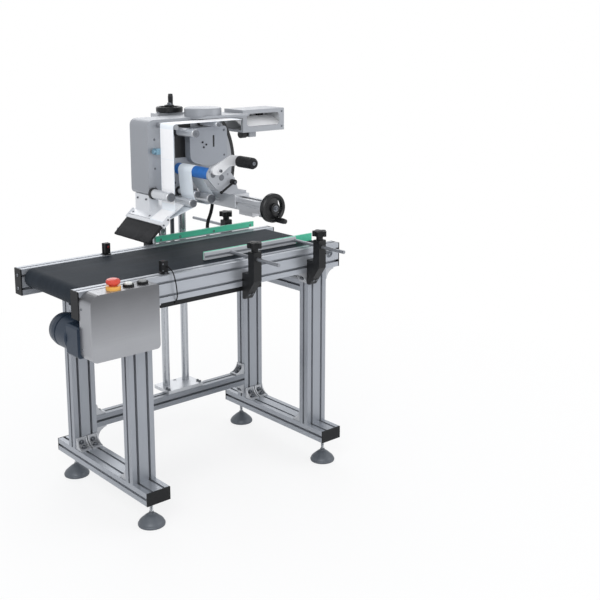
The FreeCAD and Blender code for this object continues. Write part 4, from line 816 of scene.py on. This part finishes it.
@dataclass
class Conveyor:
    """Belt, rollers, drive and controls."""

    drive_x: float = -496.1
    motor_z: float = 592.0
    flange_y: float = -202.0
    tail_x: float = 396.6
    shaft_z: float = 706.6
    ring_y: float = 182.0

    def build(self) -> None:
        """Dresses the belt drive and adds its small parts."""
        dress("conveyor_belt", BELT)
        dress("slider_bed", ZINC)
        dress("roller_bearings", STEEL)
        dress("drive_roller", STEEL)
        dress("tail_roller", STEEL)
        dress("motor_pulley", MACHINED)
        dress("timing_belt", BLACK_RUBBER)
        dress("drive_cover", COVER, 2.2)
        dress("gearmotor", NAVY)
        dress("stop_collar", YELLOW, 0.5)
        dress("button_bezels", BLACK_PLASTIC, 0.6)
        dress("stop_button", RED)
        dress("start_button", WHITE_CAP)
        dress("reset_button", GREY_CAP)
        dress("cable_ducts", BLACK_PLASTIC, 0.6)
        self.cover_screws()
        self.motor_bolts()
        self.bearing_rings()
        self.tensioners()

    def cover_screws(self) -> bpy.types.Object:
        """Screws that fix the cover to the mounting plate, on its edge flanges."""
        form = Form("cover_screws")
        for z in (575, 690):
            form.button_screw(facing(at(-532, self.flange_y, z), -X), 4.0)
            form.button_screw(facing(at(-310, self.flange_y, z), X), 4.0)
        return form.done("frame", SCREW)

    def motor_bolts(self) -> bpy.types.Object:
        """Four long bolts between gear head and motor."""
        form = Form("motor_bolts")
        for dx in (-36, 36):
            for dz in (-36, 36):
                form.cap_screw(facing(at(self.drive_x + dx, -128, self.motor_z + dz), Y), 6.0)
        return form.done("frame", SCREW)

    def bearing_rings(self) -> bpy.types.Object:
        """Snap ring and shaft end of the tail roller, one pair at each rail."""
        form = Form("shaft_retainers")
        for side in (-Y, Y):
            form.lathe([(6.5, -0.2, 0), (6.5, 1.5, 0), (5.6, 2.2, 0), (2.6, 2.2, 0), (2.2, 0.6, 0)],
                       facing(at(self.tail_x, side.y * self.ring_y, self.shaft_z), side))
        return form.done("tail_roller", SCREW)

    def tensioners(self) -> bpy.types.Object:
        """Belt tension screws through the right rail caps, with lock nuts."""
        form = Form("tension_screws")
        for y in (-RAIL_Y, RAIL_Y):
            seat = facing(at(RAIL_ENDS[1], y, 696), X)
            form.hex_nut(seat, 10, 4)
            form.lathe([(3, 3.5, 0), (3, 8.5, 0), (2.4, 9.2, 0)], seat)
        return form.done("frame", SCREW)


@dataclass
class GuidesAndSensors:
    """Side guides, their arms and the sensor pair."""

    front_y: float = -105.0
    back_y: float = 190.0
    rod_z: float = 749.0
    front_arms: tuple[float, float] = (46.0, 313.0)
    back_arms: tuple[float, float] = (-29.0, 292.0)
    sensor_x: float = -237.0
    front_bar: tuple[float, float] = (-53.0, 318.0)
    back_bar: tuple[float, float] = (-40.0, 360.0)
    back_span: tuple[float, float] = (-36.0, 376.0)
    strip_heights: tuple[float, float] = (743.0, 761.5)

    def build(self) -> None:
        """Dresses the guides and adds screws, knob caps and sensor details."""
        dress("guide_brackets", ARM_BLACK, 0.8)
        dress("guide_knobs", BLACK_PLASTIC, 0.8)
        dress("front_guide_bar", FRONT_BAR)
        dress("back_guide_bar", BACK_BAR)
        dress("front_guide_strip", GREEN)
        self.back_strip()
        self.bar_grooves()
        dress("detection_sensors", BLACK_PLASTIC, 0.5)
        self.knob_caps()
        self.strip_screws("front_guide", self.front_y + 7, Y, (-20, 130, 270, 380))
        self.strip_screws("back_guide", self.back_y - 7, -Y, (-18, 60, 200, 360))
        self.arm_screws()
        self.sensor_details()
        self.rod_caps()

    def knob_caps(self) -> bpy.types.Object:
        """Round cap with a raised ring on each star knob."""
        form = Form("knob_caps")
        for arms, side in ((self.front_arms, -1), (self.back_arms, 1)):
            for x in arms:
                seat = facing(at(x, side * 234, 800.4), Z)
                form.lathe([(12, -0.3, 0), (12, 0.8, 0), (10.5, 1.6, 0), (8.5, 1.6, 0), (8, 0.9, 0), (2, 1.1, 0)], seat)
        return form.done("frame", WHEEL_BLACK)

    def back_strip(self) -> bpy.types.Object:
        """Slim green strip along the upper part of the back guide bar."""
        form = Form("back_strip_slim")
        low, high = self.strip_heights
        x0, x1 = self.back_span
        face, seat = self.back_y - 7, self.back_y
        outline = [(x0 + 5, seat), (x0, face + 1), (x0 + 6, face), (x1 - 6, face), (x1, face + 1), (x1 - 5, seat)]
        form.slab(outline, low, high, DRAWING)
        piece = form.done("back_guide", GREEN)
        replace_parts(piece, "back_guide_strip")
        return piece

    def bar_grooves(self) -> None:
        """Thin dark plate along the outer face of each guide bar, painted shade that stands for its groove."""
        for body, y, side, span in (("front_guide", self.front_y, -1, self.front_bar),
                                    ("back_guide", self.back_y, 1, self.back_bar)):
            form = Form(body + "_bar_groove")
            low, high = sorted((y + side * 7.8, y + side * 8.15))
            form.slab([(span[0] + 0.6, low), (span[1] - 0.6, low), (span[1] - 0.6, high), (span[0] + 0.6, high)],
                      744.5, 751.0, DRAWING)
            form.done(body, GROOVE_SHADE)

    def strip_screws(self, body: str, y: float, normal: Vector, places: Iterable[float]) -> bpy.types.Object:
        """Sunk screws along a strip.

        Args:
            body: Guide that they ride on.
            y: Face of the strip.
            normal: Way that the face looks.
            places: Positions along the belt.

        Returns:
            The piece.
        """
        form = Form(body + "_strip_screws")
        for x in places:
            seat = facing(at(x, y, self.rod_z), normal)
            form.lathe([(4.2, -0.3, 0), (4.2, 0.25, 0), (3.6, 0.35, 0), (1.9, 0.3, 6), (1.8, -0.1, 6), (0.6, -0.1, 0)],
                       seat)
        return form.done(body, SCREW)

    def rod_caps(self) -> None:
        """Chamfered end faces of the guide rods."""
        for body, y, side, arms in (("front_guide", -348, -Y, self.front_arms), ("back_guide", 433, Y, self.back_arms)):
            form = Form(body + "_rod_ends")
            for x in arms:
                form.lathe([(5.5, -4, 0), (5.62, -3, 0), (5.62, -1.4, 0), (5.0, -0.05, 0), (1.0, -0.05, 0)],
                           facing(at(x, y, self.rod_z), side))
            form.done(body, SCREW)

    def arm_screws(self) -> bpy.types.Object:
        """Screws through the feet of the guide arms."""
        form = Form("guide_arm_screws")
        for arms, side in ((self.front_arms, -1), (self.back_arms, 1)):
            for x in arms:
                slant = Vector((0, side * 63, -46)).normalized()
                for dx in (-7, 7):
                    form.cap_screw(facing(at(x + dx, side * 213, 634.3), slant), 5.0)
        return form.done("frame", SCREW)

    def sensor_details(self) -> None:
        """Lens, lamp and fixing screws of the two sensors."""
        lenses = Form("sensor_lenses")
        trims = Form("sensor_screws")
        for side in (-1, 1):
            lenses.lathe([(3.6, -0.4, 0), (3.4, 0.1, 0), (2.0, 0.6, 0), (0.4, 0.75, 0)],
                         facing(at(self.sensor_x, side * 148, 763), Y * -side))
            lenses.lathe([(1.6, -0.3, 0), (1.5, 0.5, 0), (0.4, 0.8, 0)], facing(at(self.sensor_x, side * 158, 773), Z))
            for z in (745, 765):
                trims.button_screw(facing(at(self.sensor_x - 6, side * 168.5, z), Y * side), 3.0)
            trims.button_screw(facing(at(self.sensor_x, side * 172.5, 738.5), Z), 4.0)
        lenses.done("frame", LENS)
        trims.done("frame", SCREW)


@dataclass
class Lift:
    """Columns, lift screw, lift block and cross slide."""

    column_x: float = 50.0
    column_y: float = 215.0
    pitch: float = 80.0
    slide_x: float = 70.5

    def build(self) -> None:
        """Dresses the lift and adds screws and hub parts."""
        dress("column_plates", MACHINED, 0.8)
        dress("columns", GROUND)
        dress("lead_screw", LIFT_THREAD)
        dress("lift_wheel", WHEEL_BLACK)
        dress("lift_block", MACHINED, 0.8)
        dress("slide_beam", MACHINED)
        dress("cross_wheel", CROSS_THREAD)
        self.plate_screws()
        self.block_screws()
        self.wheel_hubs()
        self.slide_screws()

    def plate_screws(self) -> bpy.types.Object:
        """Screws in the base, tie and top plates."""
        form = Form("column_plate_screws")
        for x in (-14, 114):
            for y in (162, 176):
                form.cap_screw(facing(at(x, y, 227), Z), 6.0)
        for x in (-4, 104):
            form.cap_screw(facing(at(x, 238, 670), Y), 5.0)
        for x in (28, 72):
            form.cap_screw(facing(at(x, 238, 670), Y), 6.0)
        for dx in (-1, 1):
            form.button_screw(facing(at(self.column_x + dx * 40, self.column_y, 1164), Z), 8.0)
        return form.done("frame", SCREW)

    def block_screws(self) -> bpy.types.Object:
        """Clamp screws and grease points of the lift block."""
        form = Form("lift_block_screws")
        for x in (0, 100):
            for z in (884, 926):
                form.cap_screw(facing(at(x, 239, z), Y), 6.0)
        for z in (890, 920):
            form.cap_screw(facing(at(-12, 215, z), -X), 5.0)
        for x in (34, 66):
            form.cap_screw(facing(at(x, 228, 905), Y), 5.0)
        return form.done("lift", SCREW)

    def wheel_hubs(self) -> None:
        """Washer and nut on each handwheel hub."""
        top = Form("lift_wheel_nut")
        seat = facing(at(self.column_x, self.column_y, 1188), Z)
        top.lathe([(11, -0.2, 0), (11, 1.4, 0), (4, 1.4, 0)], seat)
        top.hex_nut(seat @ Matrix.Translation(Z * 0.0013), 13, 6)
        top.done("lift_drive", SCREW)
        side = Form("cross_wheel_nut")
        seat = facing(at(self.slide_x, -304, 911), -Y)
        side.lathe([(9.5, -0.2, 0), (9.5, 1.3, 0), (3, 1.3, 0)], seat)
        side.hex_nut(seat @ Matrix.Translation(Z * 0.0012), 10, 5)
        side.done("cross_drive", SCREW)

    def slide_screws(self) -> bpy.types.Object:
        """Corner screws of the slide's bearing plate and the block below it."""
        form = Form("slide_plate_screws")
        for dx in (-18, 18):
            for z in (887, 922):
                form.cap_screw(facing(at(self.slide_x + dx, -262, z), -Y), 4.0)
        for y in (-200, -166):
            form.cap_screw(facing(at(self.slide_x - 2, y, 875), -Z), 5.0)
        for y in (84, 150):
            for dx in (-1, 1):
                form.button_screw(facing(at(self.slide_x + dx * 16, y, 926), Z), 4.0)
        return form.done("lift", SCREW)


@dataclass
class LabelHead:
    """Housing, rollers, web, labels, peel plate and brush."""

    web_x: float = -112.0
    web_side: tuple[float, float] = (-44.0, 27.0)
    seam_z: float = 1044.0
    seam_gap: float = 1.6
    margin: float = 2.5
    label_thickness: float = 0.12
    web_thickness: float = 0.5
    peel_gap: float = 0.4
    pull_x: float = -30.5
    pull_z: float = 1003.0
    pull_back: float = 136.0
    top_run_z: float = 1152.9
    low: tuple[float, float] = (-156.5, 861.0)
    high: tuple[float, float] = (-80.5, 905.0)
    brush_slope: float = 42.0
    brush_side: tuple[float, float] = (-43.0, 151.0)
    hair_count: int = 210
    rollers: dict[str, tuple[float, float, float]] = field(default_factory=lambda: {
        "a": (-127.7, 933.0, 15.0), "b": (-46.5, 905.0, 13.0), "c": (-30.5, 932.0, 11.0),
        "d": (22.5, 912.0, 15.0), "e": (-31.5, 1120.0, 13.0), "f": (55.5, 1143.0, 9.0)})

    def build(self) -> None:
        """Dresses the label head and adds its details."""
        for node, finish, soften in (("carriage", MACHINED, 0.8), ("front_plate", PLATE_GREY, 0.8),
                                     ("ring_housing", HEAD_PAINT, 1.2), ("back_plate", REAR_PAINT, 0.6),
                                     ("roller_housing", HEAD_GREY, 2.5), ("roller_pins", PIN, 0.0),
                                     ("peel_plate", PEEL_SHEET, 0.5), ("feeder_box", BOX_PAINT, 1.5),
                                     ("web_sensor", SENSOR_BARREL, 0.0), ("label_web", BACKING, 0.0),
                                     ("pull_roller", BLUE, 0.0), ("nip_roller", STEEL, 0.0),
                                     ("nip_lever", LEVER_BRIGHT, 1.0), ("lever_grip", BLACK_PLASTIC, 0.0),
                                     ("clamp_lever", BLACK_PLASTIC, 0.0)):
            dress(node, finish, soften)
        for key in self.rollers:
            dress("guide_roller_" + key, IDLER)
        self.labels()
        self.brush()
        self.plate_screws()
        self.roller_rings()
        self.housing_screws()
        self.box_strip()
        self.lever_screws()
        self.motor_back()

    def labels(self) -> bpy.types.Object:
        """White labels on the outer side of the web, before the peel edge."""
        form = Form("web_labels")
        y0 = self.web_side[0] + self.margin
        y1 = self.web_side[1] - self.margin
        gap = 0.02
        for x0, x1 in ((-86, 66), (66 + self.seam_gap, 136)):
            form.slab([(x0, y0), (x1, y0), (x1, y1), (x0, y1)], self.top_run_z + gap,
                      self.top_run_z + gap + self.label_thickness, DRAWING)
        side = self.web_x - self.web_thickness / 2 - gap
        for z0, z1 in ((908, self.seam_z - self.seam_gap / 2), (self.seam_z + self.seam_gap / 2, 1136)):
            outline = [(side - self.label_thickness, y0), (side, y0), (side, y1), (side - self.label_thickness, y1)]
            form.slab(outline, z0, z1, DRAWING)
        run, lift = self.slant()
        base = Vector((self.low[0], 0, self.low[1])) + lift * (self.peel_gap + self.web_thickness + gap)
        place = Matrix.Translation(at(*base)) @ Matrix((
            (run.x, 0, lift.x, 0), (0, 1, 0, 0), (run.z, 0, lift.z, 0), (0, 0, 0, 1)))
        form.slab([(1, y0), (64, y0), (64, y1), (1, y1)], 0, self.label_thickness, place)
        return form.done("head", LABEL)

    def slant(self) -> tuple[Vector, Vector]:
        """Directions up the peel plate's slope and off its face."""
        run = Vector((self.high[0] - self.low[0], 0, self.high[1] - self.low[1])).normalized()
        return run, Vector((-run.z, 0, run.x))

    def brush_point(self, along: float, off: float) -> Vector:
        """Point of the brush section, down the slant and off its upper face."""
        slope = math.radians(self.brush_slope)
        return Vector((self.low[0] + 2 - along * math.cos(slope) + off * math.sin(slope), 0,
                       self.low[1] - 2 - along * math.sin(slope) - off * math.cos(slope)))

    def brush(self) -> bpy.types.Object:
        """Rows of tapered bristle tufts in place of the plain bundle."""
        form = Form("wiping_brush")
        chance = random.Random(11)
        y0, y1 = self.brush_side
        for row, (root, tip) in enumerate(((2.0, 2.9), (5.2, 5.2), (8.6, 7.4))):
            for k in range(self.hair_count):
                y = y0 + (y1 - y0) * (k + 0.5) / self.hair_count
                drop = chance.uniform(-1.2, 0.0)
                sway = chance.uniform(-0.5, 0.5)
                points = []
                for along, off, width, thick in ((13.0, root, 0.62, 1.9), (46.0, (root + tip) / 2, 0.56, 1.6),
                                                 (81.5 + drop, tip, 0.34, 0.7)):
                    bend = sway * (along - 13) / 68
                    for dy, dt in ((-width, -thick), (width, -thick), (width, thick), (-width, thick)):
                        spot = self.brush_point(along, off + dt * 0.9)
                        points.append(form.mesh.verts.new(at(spot.x, y + dy + bend, spot.z)))
                for level in (0, 4):
                    for k4 in range(4):
                        a, b = level + k4, level + (k4 + 1) % 4
                        form.mesh.faces.new((points[a], points[b], points[b + 4], points[a + 4]))
                form.mesh.faces.new((points[3], points[2], points[1], points[0]))
                form.mesh.faces.new((points[8], points[9], points[10], points[11]))
        piece = form.done("head", HAIR, 60.0)
        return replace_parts(piece, "brush_bristles")

    def plate_screws(self) -> bpy.types.Object:
        """Screws on the peel plate, on its hanger and on the brush cheeks."""
        form = Form("peel_plate_screws")
        run, lift = self.slant()
        for along, y in ((10, 44), (10, 138), (44, 146)):
            spot = Vector((self.low[0], y, self.low[1])) + run * along
            form.button_screw(facing(at(*spot), lift), 4.0)
        for y, side in ((-47, -Y), (155, Y)):
            for along in (-14, 8):
                spot = self.brush_point(along, 4)
                form.cap_screw(facing(at(spot.x, y, spot.z), side), 3.5)
        for y in (78, 126):
            form.cap_screw(facing(at(-136, y, 912), -X), 4.0)
        return form.done("head", SCREW)

    def roller_rings(self) -> bpy.types.Object:
        """Snap ring and end screw at the front of each guide roller pin."""
        form = Form("roller_end_screws")
        for x, z, r in self.rollers.values():
            seat = facing(at(x, -50, z), -Y)
            size = min(r - 3, 7.0)
            form.lathe([(r * 0.88, -0.2, 0), (r * 0.88, 0.3, 0), (size * 0.72, 0.3, 0), (size * 0.72, 0.8, 0),
                        (size * 0.6, 1.2, 0), (size * 0.34, 1.2, 6), (size * 0.32, 0.4, 6), (size * 0.1, 0.4, 0)], seat)
        return form.done("head", SCREW)

    def housing_screws(self) -> None:
        """Screws on the ring housing, the roller housing, the roller plate and the box, three dark screws on the
        housing and a black slab in its slot as painted shade.
        """
        form = Form("head_screws")
        for x, z in ((-118, 950), (-118, 1010), (-118, 1100)):
            form.button_screw(facing(at(x, 52, z), -Y), 4.0)
        for x, z in ((8, 1116), (129, 1116), (129, 1036)):
            form.button_screw(facing(at(x, 24, z), -Y), 4.0)
        for x, z in ((-44, 1132), (140, 1138), (166, 930), (-44, 958)):
            form.button_screw(facing(at(x, 52, z), -Y), 4.0)
        for z in (1110, 1160):
            form.button_screw(facing(at(396, 52, z), -Y), 4.0)
        form.done("head", SCREW)
        marks = Form("housing_dots_and_slot_shade")
        for x, z in ((44, 1082), (58, 1074), (48, 1066)):
            marks.button_screw(facing(at(x, 22.5, z), -Y), 3.6)
        # Black slab inside the slot: painted shade of the slot's depth.
        marks.slab([(84.3, 1064.3), (90.7, 1064.3), (90.7, 1101.7), (84.3, 1101.7)], -29.8, -25.0,
                   DRAWING @ Matrix.Rotation(math.radians(90), 4, "X"))
        marks.done("head", BLACK_PAINT)

    def box_strip(self) -> bpy.types.Object:
        """Label strip that lies in the sheet box, below its window."""
        form = Form("box_label_strip")
        for k in range(8):
            y0, y1 = 57 + k * 9, 66 + k * 9
            z0, z1 = (1116.6 + 26 * math.sin(math.radians((y - 57) * 1.25)) ** 1.4 for y in (y0, y1))
            loop = [form.mesh.verts.new(at(x, y, z)) for x, y, z in
                    ((233, y0, z0), (402, y0, z0), (402, y1, z1), (233, y1, z1))]
            form.mesh.faces.new(loop)
        bmesh.ops.remove_doubles(form.mesh, verts=form.mesh.verts, dist=0.00001)
        bmesh.ops.solidify(form.mesh, geom=form.mesh.faces[:], thickness=0.0003)
        return form.done("head", LABEL)

    def lever_screws(self) -> None:
        """Pivot screw of the lever, end screw of its grip, bearing covers and clamp screw."""
        lever = Form("lever_screws")
        lever.cap_screw(facing(at(-12, -143.4, 1014), -Y), 6.0)
        lever.lathe([(6.0, -0.2, 0), (6.0, 1.2, 0), (5.2, 1.8, 0), (2.6, 1.8, 6), (2.4, 0.4, 6), (0.6, 0.4, 0)],
                    facing(at(65, -209.4, 1036), -Y))
        lever.done("nip_lever", SCREW)
        clamp = Form("clamp_screw")
        clamp.cap_screw(facing(at(40, -147.4, 975), -Y), 5.0)
        clamp.done("clamp_lever", SCREW)
        covers = Form("bearing_covers")
        for x, z in ((self.pull_x, self.pull_z), (1, 991)):
            covers.lathe([(9.5, -0.2, 0), (9.5, 0.15, 0), (9.0, 0.3, 0), (6.4, 0.3, 0), (6.2, 0.05, 0)],
                         facing(at(x, -131, z), -Y), 32)
        covers.done("head", SCREW)

    def motor_back(self) -> None:
        """Bolts and end bell of the pull motor."""
        form = Form("pull_motor_bolts")
        for dx in (-23, 23):
            for dz in (-23, 23):
                form.cap_screw(facing(at(self.pull_x + dx, self.pull_back, self.pull_z + dz), Y), 4.0)
        form.done("head", SCREW)
        bell = Form("pull_motor_boss")
        bell.lathe([(18, -0.3, 0), (18, 3.5, 0), (16.5, 4.5, 0), (7, 4.5, 0), (6, 8, 0), (2, 8, 0)],
                   facing(at(self.pull_x, self.pull_back, self.pull_z), Y), 32)
        bell.done("head", BLACK_PAINT)


@dataclass
class Cords:
    """Sensor cable and head hose with their end pieces."""

    cable: float = 3.5
    hose: float = 12.0
    cable_length: float = 0.136
    hose_length: float = 0.322
    cable_route: tuple[tuple[float, float, float], ...] = (
        (-229.0, -166.5, 756.0), (-228.0, -192.0, 752.0), (-224.0, -202.0, 722.0),
        (-219.0, -202.0, 690.0), (-216.0, -199.0, 662.0), (-215.0, -183.0, 646.0))
    hose_route: tuple[tuple[float, float, float], ...] = (
        (150.0, 97.0, 955.0), (160.0, 150.0, 944.0), (202.0, 190.0, 888.0),
        (212.0, 206.0, 822.0), (184.0, 211.5, 758.0), (200.0, 206.0, 692.0))

    def build(self) -> None:
        """Builds both cords and their glands."""
        self.cord("sensor_lead", self.cable_route, self.cable, "sensor_cable")
        self.cord("head_supply_hose", self.hose_route, self.hose, "head_hose", "lift")
        glands = Form("hose_gland")
        start = Vector(self.hose_route[0])
        way = (Vector(self.hose_route[1]) - start).normalized()
        glands.lathe([(10.5, -1, 6), (10.5, 6, 6), (8.8, 7, 0), (8.4, 13, 0), (6.4, 17, 0)],
                     facing(at(*(start - way * 1.5)), way))
        glands.done("head", BLACK_PLASTIC)
        socket = Form("hose_socket_ring")
        end = Vector(self.hose_route[-1])
        up = (Vector(self.hose_route[-2]) - end).normalized()
        socket.lathe([(11, -1.5, 6), (11, 6, 6), (9, 7, 0), (8.6, 12, 0), (6.4, 15, 0)], facing(at(*end), up))
        socket.done("frame", BLACK_PLASTIC)
        relief = Form("sensor_relief")
        start = Vector(self.cable_route[0])
        way = (Vector(self.cable_route[1]) - start).normalized()
        relief.lathe([(3.4, -0.4, 0), (3.2, 4, 0), (2.3, 9, 0), (1.8, 12, 0)], facing(at(*start), way))
        relief.done("frame", BLACK_RUBBER)

    def cord(self, name: str, route: Sequence[Sequence[float]], thick: float, node: str,
             follows: str = "") -> bpy.types.Object:
        """Smooth cord through its route.

        Args:
            name: Piece name.
            route: Control points in the drawing frame.
            thick: Diameter in millimetres.
            node: Node that it stands for.
            follows: Body that its upper end stays with, empty where it keeps to the frame.

        Returns:
            The cord.
        """
        curve = bpy.data.curves.new(name, "CURVE")
        curve.dimensions = "3D"
        line = curve.splines.new("NURBS")
        line.points.add(len(route) - 1)
        for point, spot in zip(line.points, route):
            point.co = (*at(*spot), 1.0)
        line.order_u = 3
        line.use_endpoint_u = True
        line.resolution_u = 16
        curve.bevel_depth = thick / 2 * MM
        curve.bevel_resolution = 6
        curve.use_fill_caps = True
        curve.materials.append(BLACK_RUBBER.material())
        piece = bpy.data.objects.new(name, curve)
        path = None
        if follows:
            piece, path = self.tube(piece)
        bpy.context.scene.collection.objects.link(piece)
        if not follows:
            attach(piece, "frame")
        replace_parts(piece, node)
        if follows:
            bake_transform(piece)
        LOG.info("%s, %d points", name, len(route))
        return piece

    def tube(self, line: bpy.types.Object) -> tuple[bpy.types.Object, list[Vector]]:
        """Mesh tube of a cord's curve.

        Args:
            line: Curve object of the cord.

        Returns:
            The tube and the points of its centre line.
        """
        curve, depth = line.data, line.data.bevel_depth
        curve.bevel_depth = 0.0
        path = [point.co.copy() for point in bpy.data.meshes.new_from_object(line).vertices]
        curve.bevel_depth = depth
        mesh = bpy.data.meshes.new_from_object(line)
        for face in mesh.polygons:
            face.use_smooth = len(face.vertices) == 4
        name = line.name
        bpy.data.objects.remove(line)
        return bpy.data.objects.new(name, mesh), path


@dataclass
class Studio:
    """Pale floor, plain soft light and the camera."""

    camera_place: tuple[float, float, float] = (-1804.518, -2544.149, 1444.923)
    ahead: tuple[float, float, float] = (0.646329, 0.734239, -0.207730)
    upward: tuple[float, float, float] = (0.135319, 0.157628, 0.978183)
    focal: float = 59.804
    shift: float = -0.10497
    world_level: float = 0.75
    floor_share: float = 0.72
    floor_fade: float = 0.13

    def build(self) -> None:
        """Sets up everything round the object."""
        self.camera()
        self.world()
        self.floor()
        self.lamp("key_light", (-2600, -2300, 3000), 2.4, 62.0)
        self.lamp("fill_light", (2600, -2400, 1900), 2.6, 22.0)
        self.lamp("back_light", (1200, 2600, 2600), 2.4, 26.0)
        bpy.context.scene.view_settings.view_transform = "Standard"

    def camera(self) -> None:
        """Camera at the photograph's place and angle."""
        data = bpy.data.cameras.new("photo_camera")
        data.sensor_width = 36.0
        data.lens = self.focal
        data.shift_y = self.shift
        data.clip_end = 120.0
        made = bpy.data.objects.new("photo_camera", data)
        bpy.context.scene.collection.objects.link(made)
        back = -Vector(self.ahead).normalized()
        up = Vector(self.upward).normalized()
        right = up.cross(back).normalized()
        turned = Matrix((right, up, back)).transposed().to_4x4()
        made.matrix_world = Matrix.Translation(at(*self.camera_place)) @ turned
        bpy.context.scene.camera = made

    def world(self) -> None:
        """White surroundings for the eye and for reflections, a plain level for light."""
        made = bpy.data.worlds.new("studio")
        bpy.context.scene.world = made
        made.use_nodes = True
        graph = Graph(made.node_tree)
        path = graph.node("ShaderNodeLightPath", {}, {})
        seen = Value(graph, path.outputs["Is Camera Ray"])
        lit = graph.value("ShaderNodeBackground", {}, {"Color": (0.95, 0.965, 1.0, 1), "Strength": self.world_level})
        white = graph.value("ShaderNodeBackground", {}, {"Color": (1, 1, 1, 1), "Strength": 1.0})
        mixed = graph.value("ShaderNodeMixShader", {}, {0: seen, 1: lit, 2: white})
        graph.node("ShaderNodeOutputWorld", {}, {"Surface": mixed})

    def floor(self) -> None:
        """Pale floor that keeps the object's shadow."""
        form = bmesh.new()
        bmesh.ops.create_grid(form, x_segments=1, y_segments=1, size=40.0)
        data = bpy.data.meshes.new("floor")
        form.to_mesh(data)
        form.free()
        plane = bpy.data.objects.new("floor", data)
        bpy.context.scene.collection.objects.link(plane)
        made = bpy.data.materials.new("floor_pale")
        made.use_nodes = True
        graph = Graph(made.node_tree)
        path = graph.node("ShaderNodeLightPath", {}, {})
        seen = Value(graph, path.outputs["Is Camera Ray"])
        pale = graph.value("ShaderNodeBsdfDiffuse", {}, {"Color": (0.92, 0.92, 0.92, 1)})
        glow = graph.value("ShaderNodeEmission", {}, {"Color": (1, 1, 1, 1), "Strength": 1.0})
        place = graph.place()
        reach = (graph.axis(place, "X") ** 2.0 + graph.axis(place, "Y") ** 2.0) ** 0.5
        share = seen * (reach * self.floor_fade + self.floor_share).clamped()
        surface = graph.value("ShaderNodeMixShader", {}, {0: share, 1: pale, 2: glow})
        graph.node("ShaderNodeOutputMaterial", {}, {"Surface": surface})
        data.materials.append(made)

    def lamp(self, name: str, place: tuple[float, float, float], size: float, power: float) -> None:
        """Large soft lamp aimed at the machine.

        Args:
            name: Lamp name.
            place: Position in the drawing frame, in millimetres.
            size: Edge length in metres.
            power: Watts.
        """
        data = bpy.data.lights.new(name, "AREA")
        data.shape = "SQUARE"
        data.size = size
        data.energy = power
        made = bpy.data.objects.new(name, data)
        bpy.context.scene.collection.objects.link(made)
        spot = at(*place)
        aim = (at(0, 0, 650) - spot).to_track_quat("-Z", "Y").to_matrix().to_4x4()
        made.matrix_world = Matrix.Translation(spot) @ aim


def main() -> None:
    """Builds every sub-assembly in order and logs its name."""
    logging.basicConfig(level=logging.INFO, format="%(message)s")
    assemblies = (Studio(), Cords(), ProfileFrame(), Conveyor(), GuidesAndSensors(), Lift(), LabelHead())
    for assembly in assemblies:
        LOG.info("building %s", type(assembly).__name__)
        assembly.build()


if __name__ == "__main__":
    main()
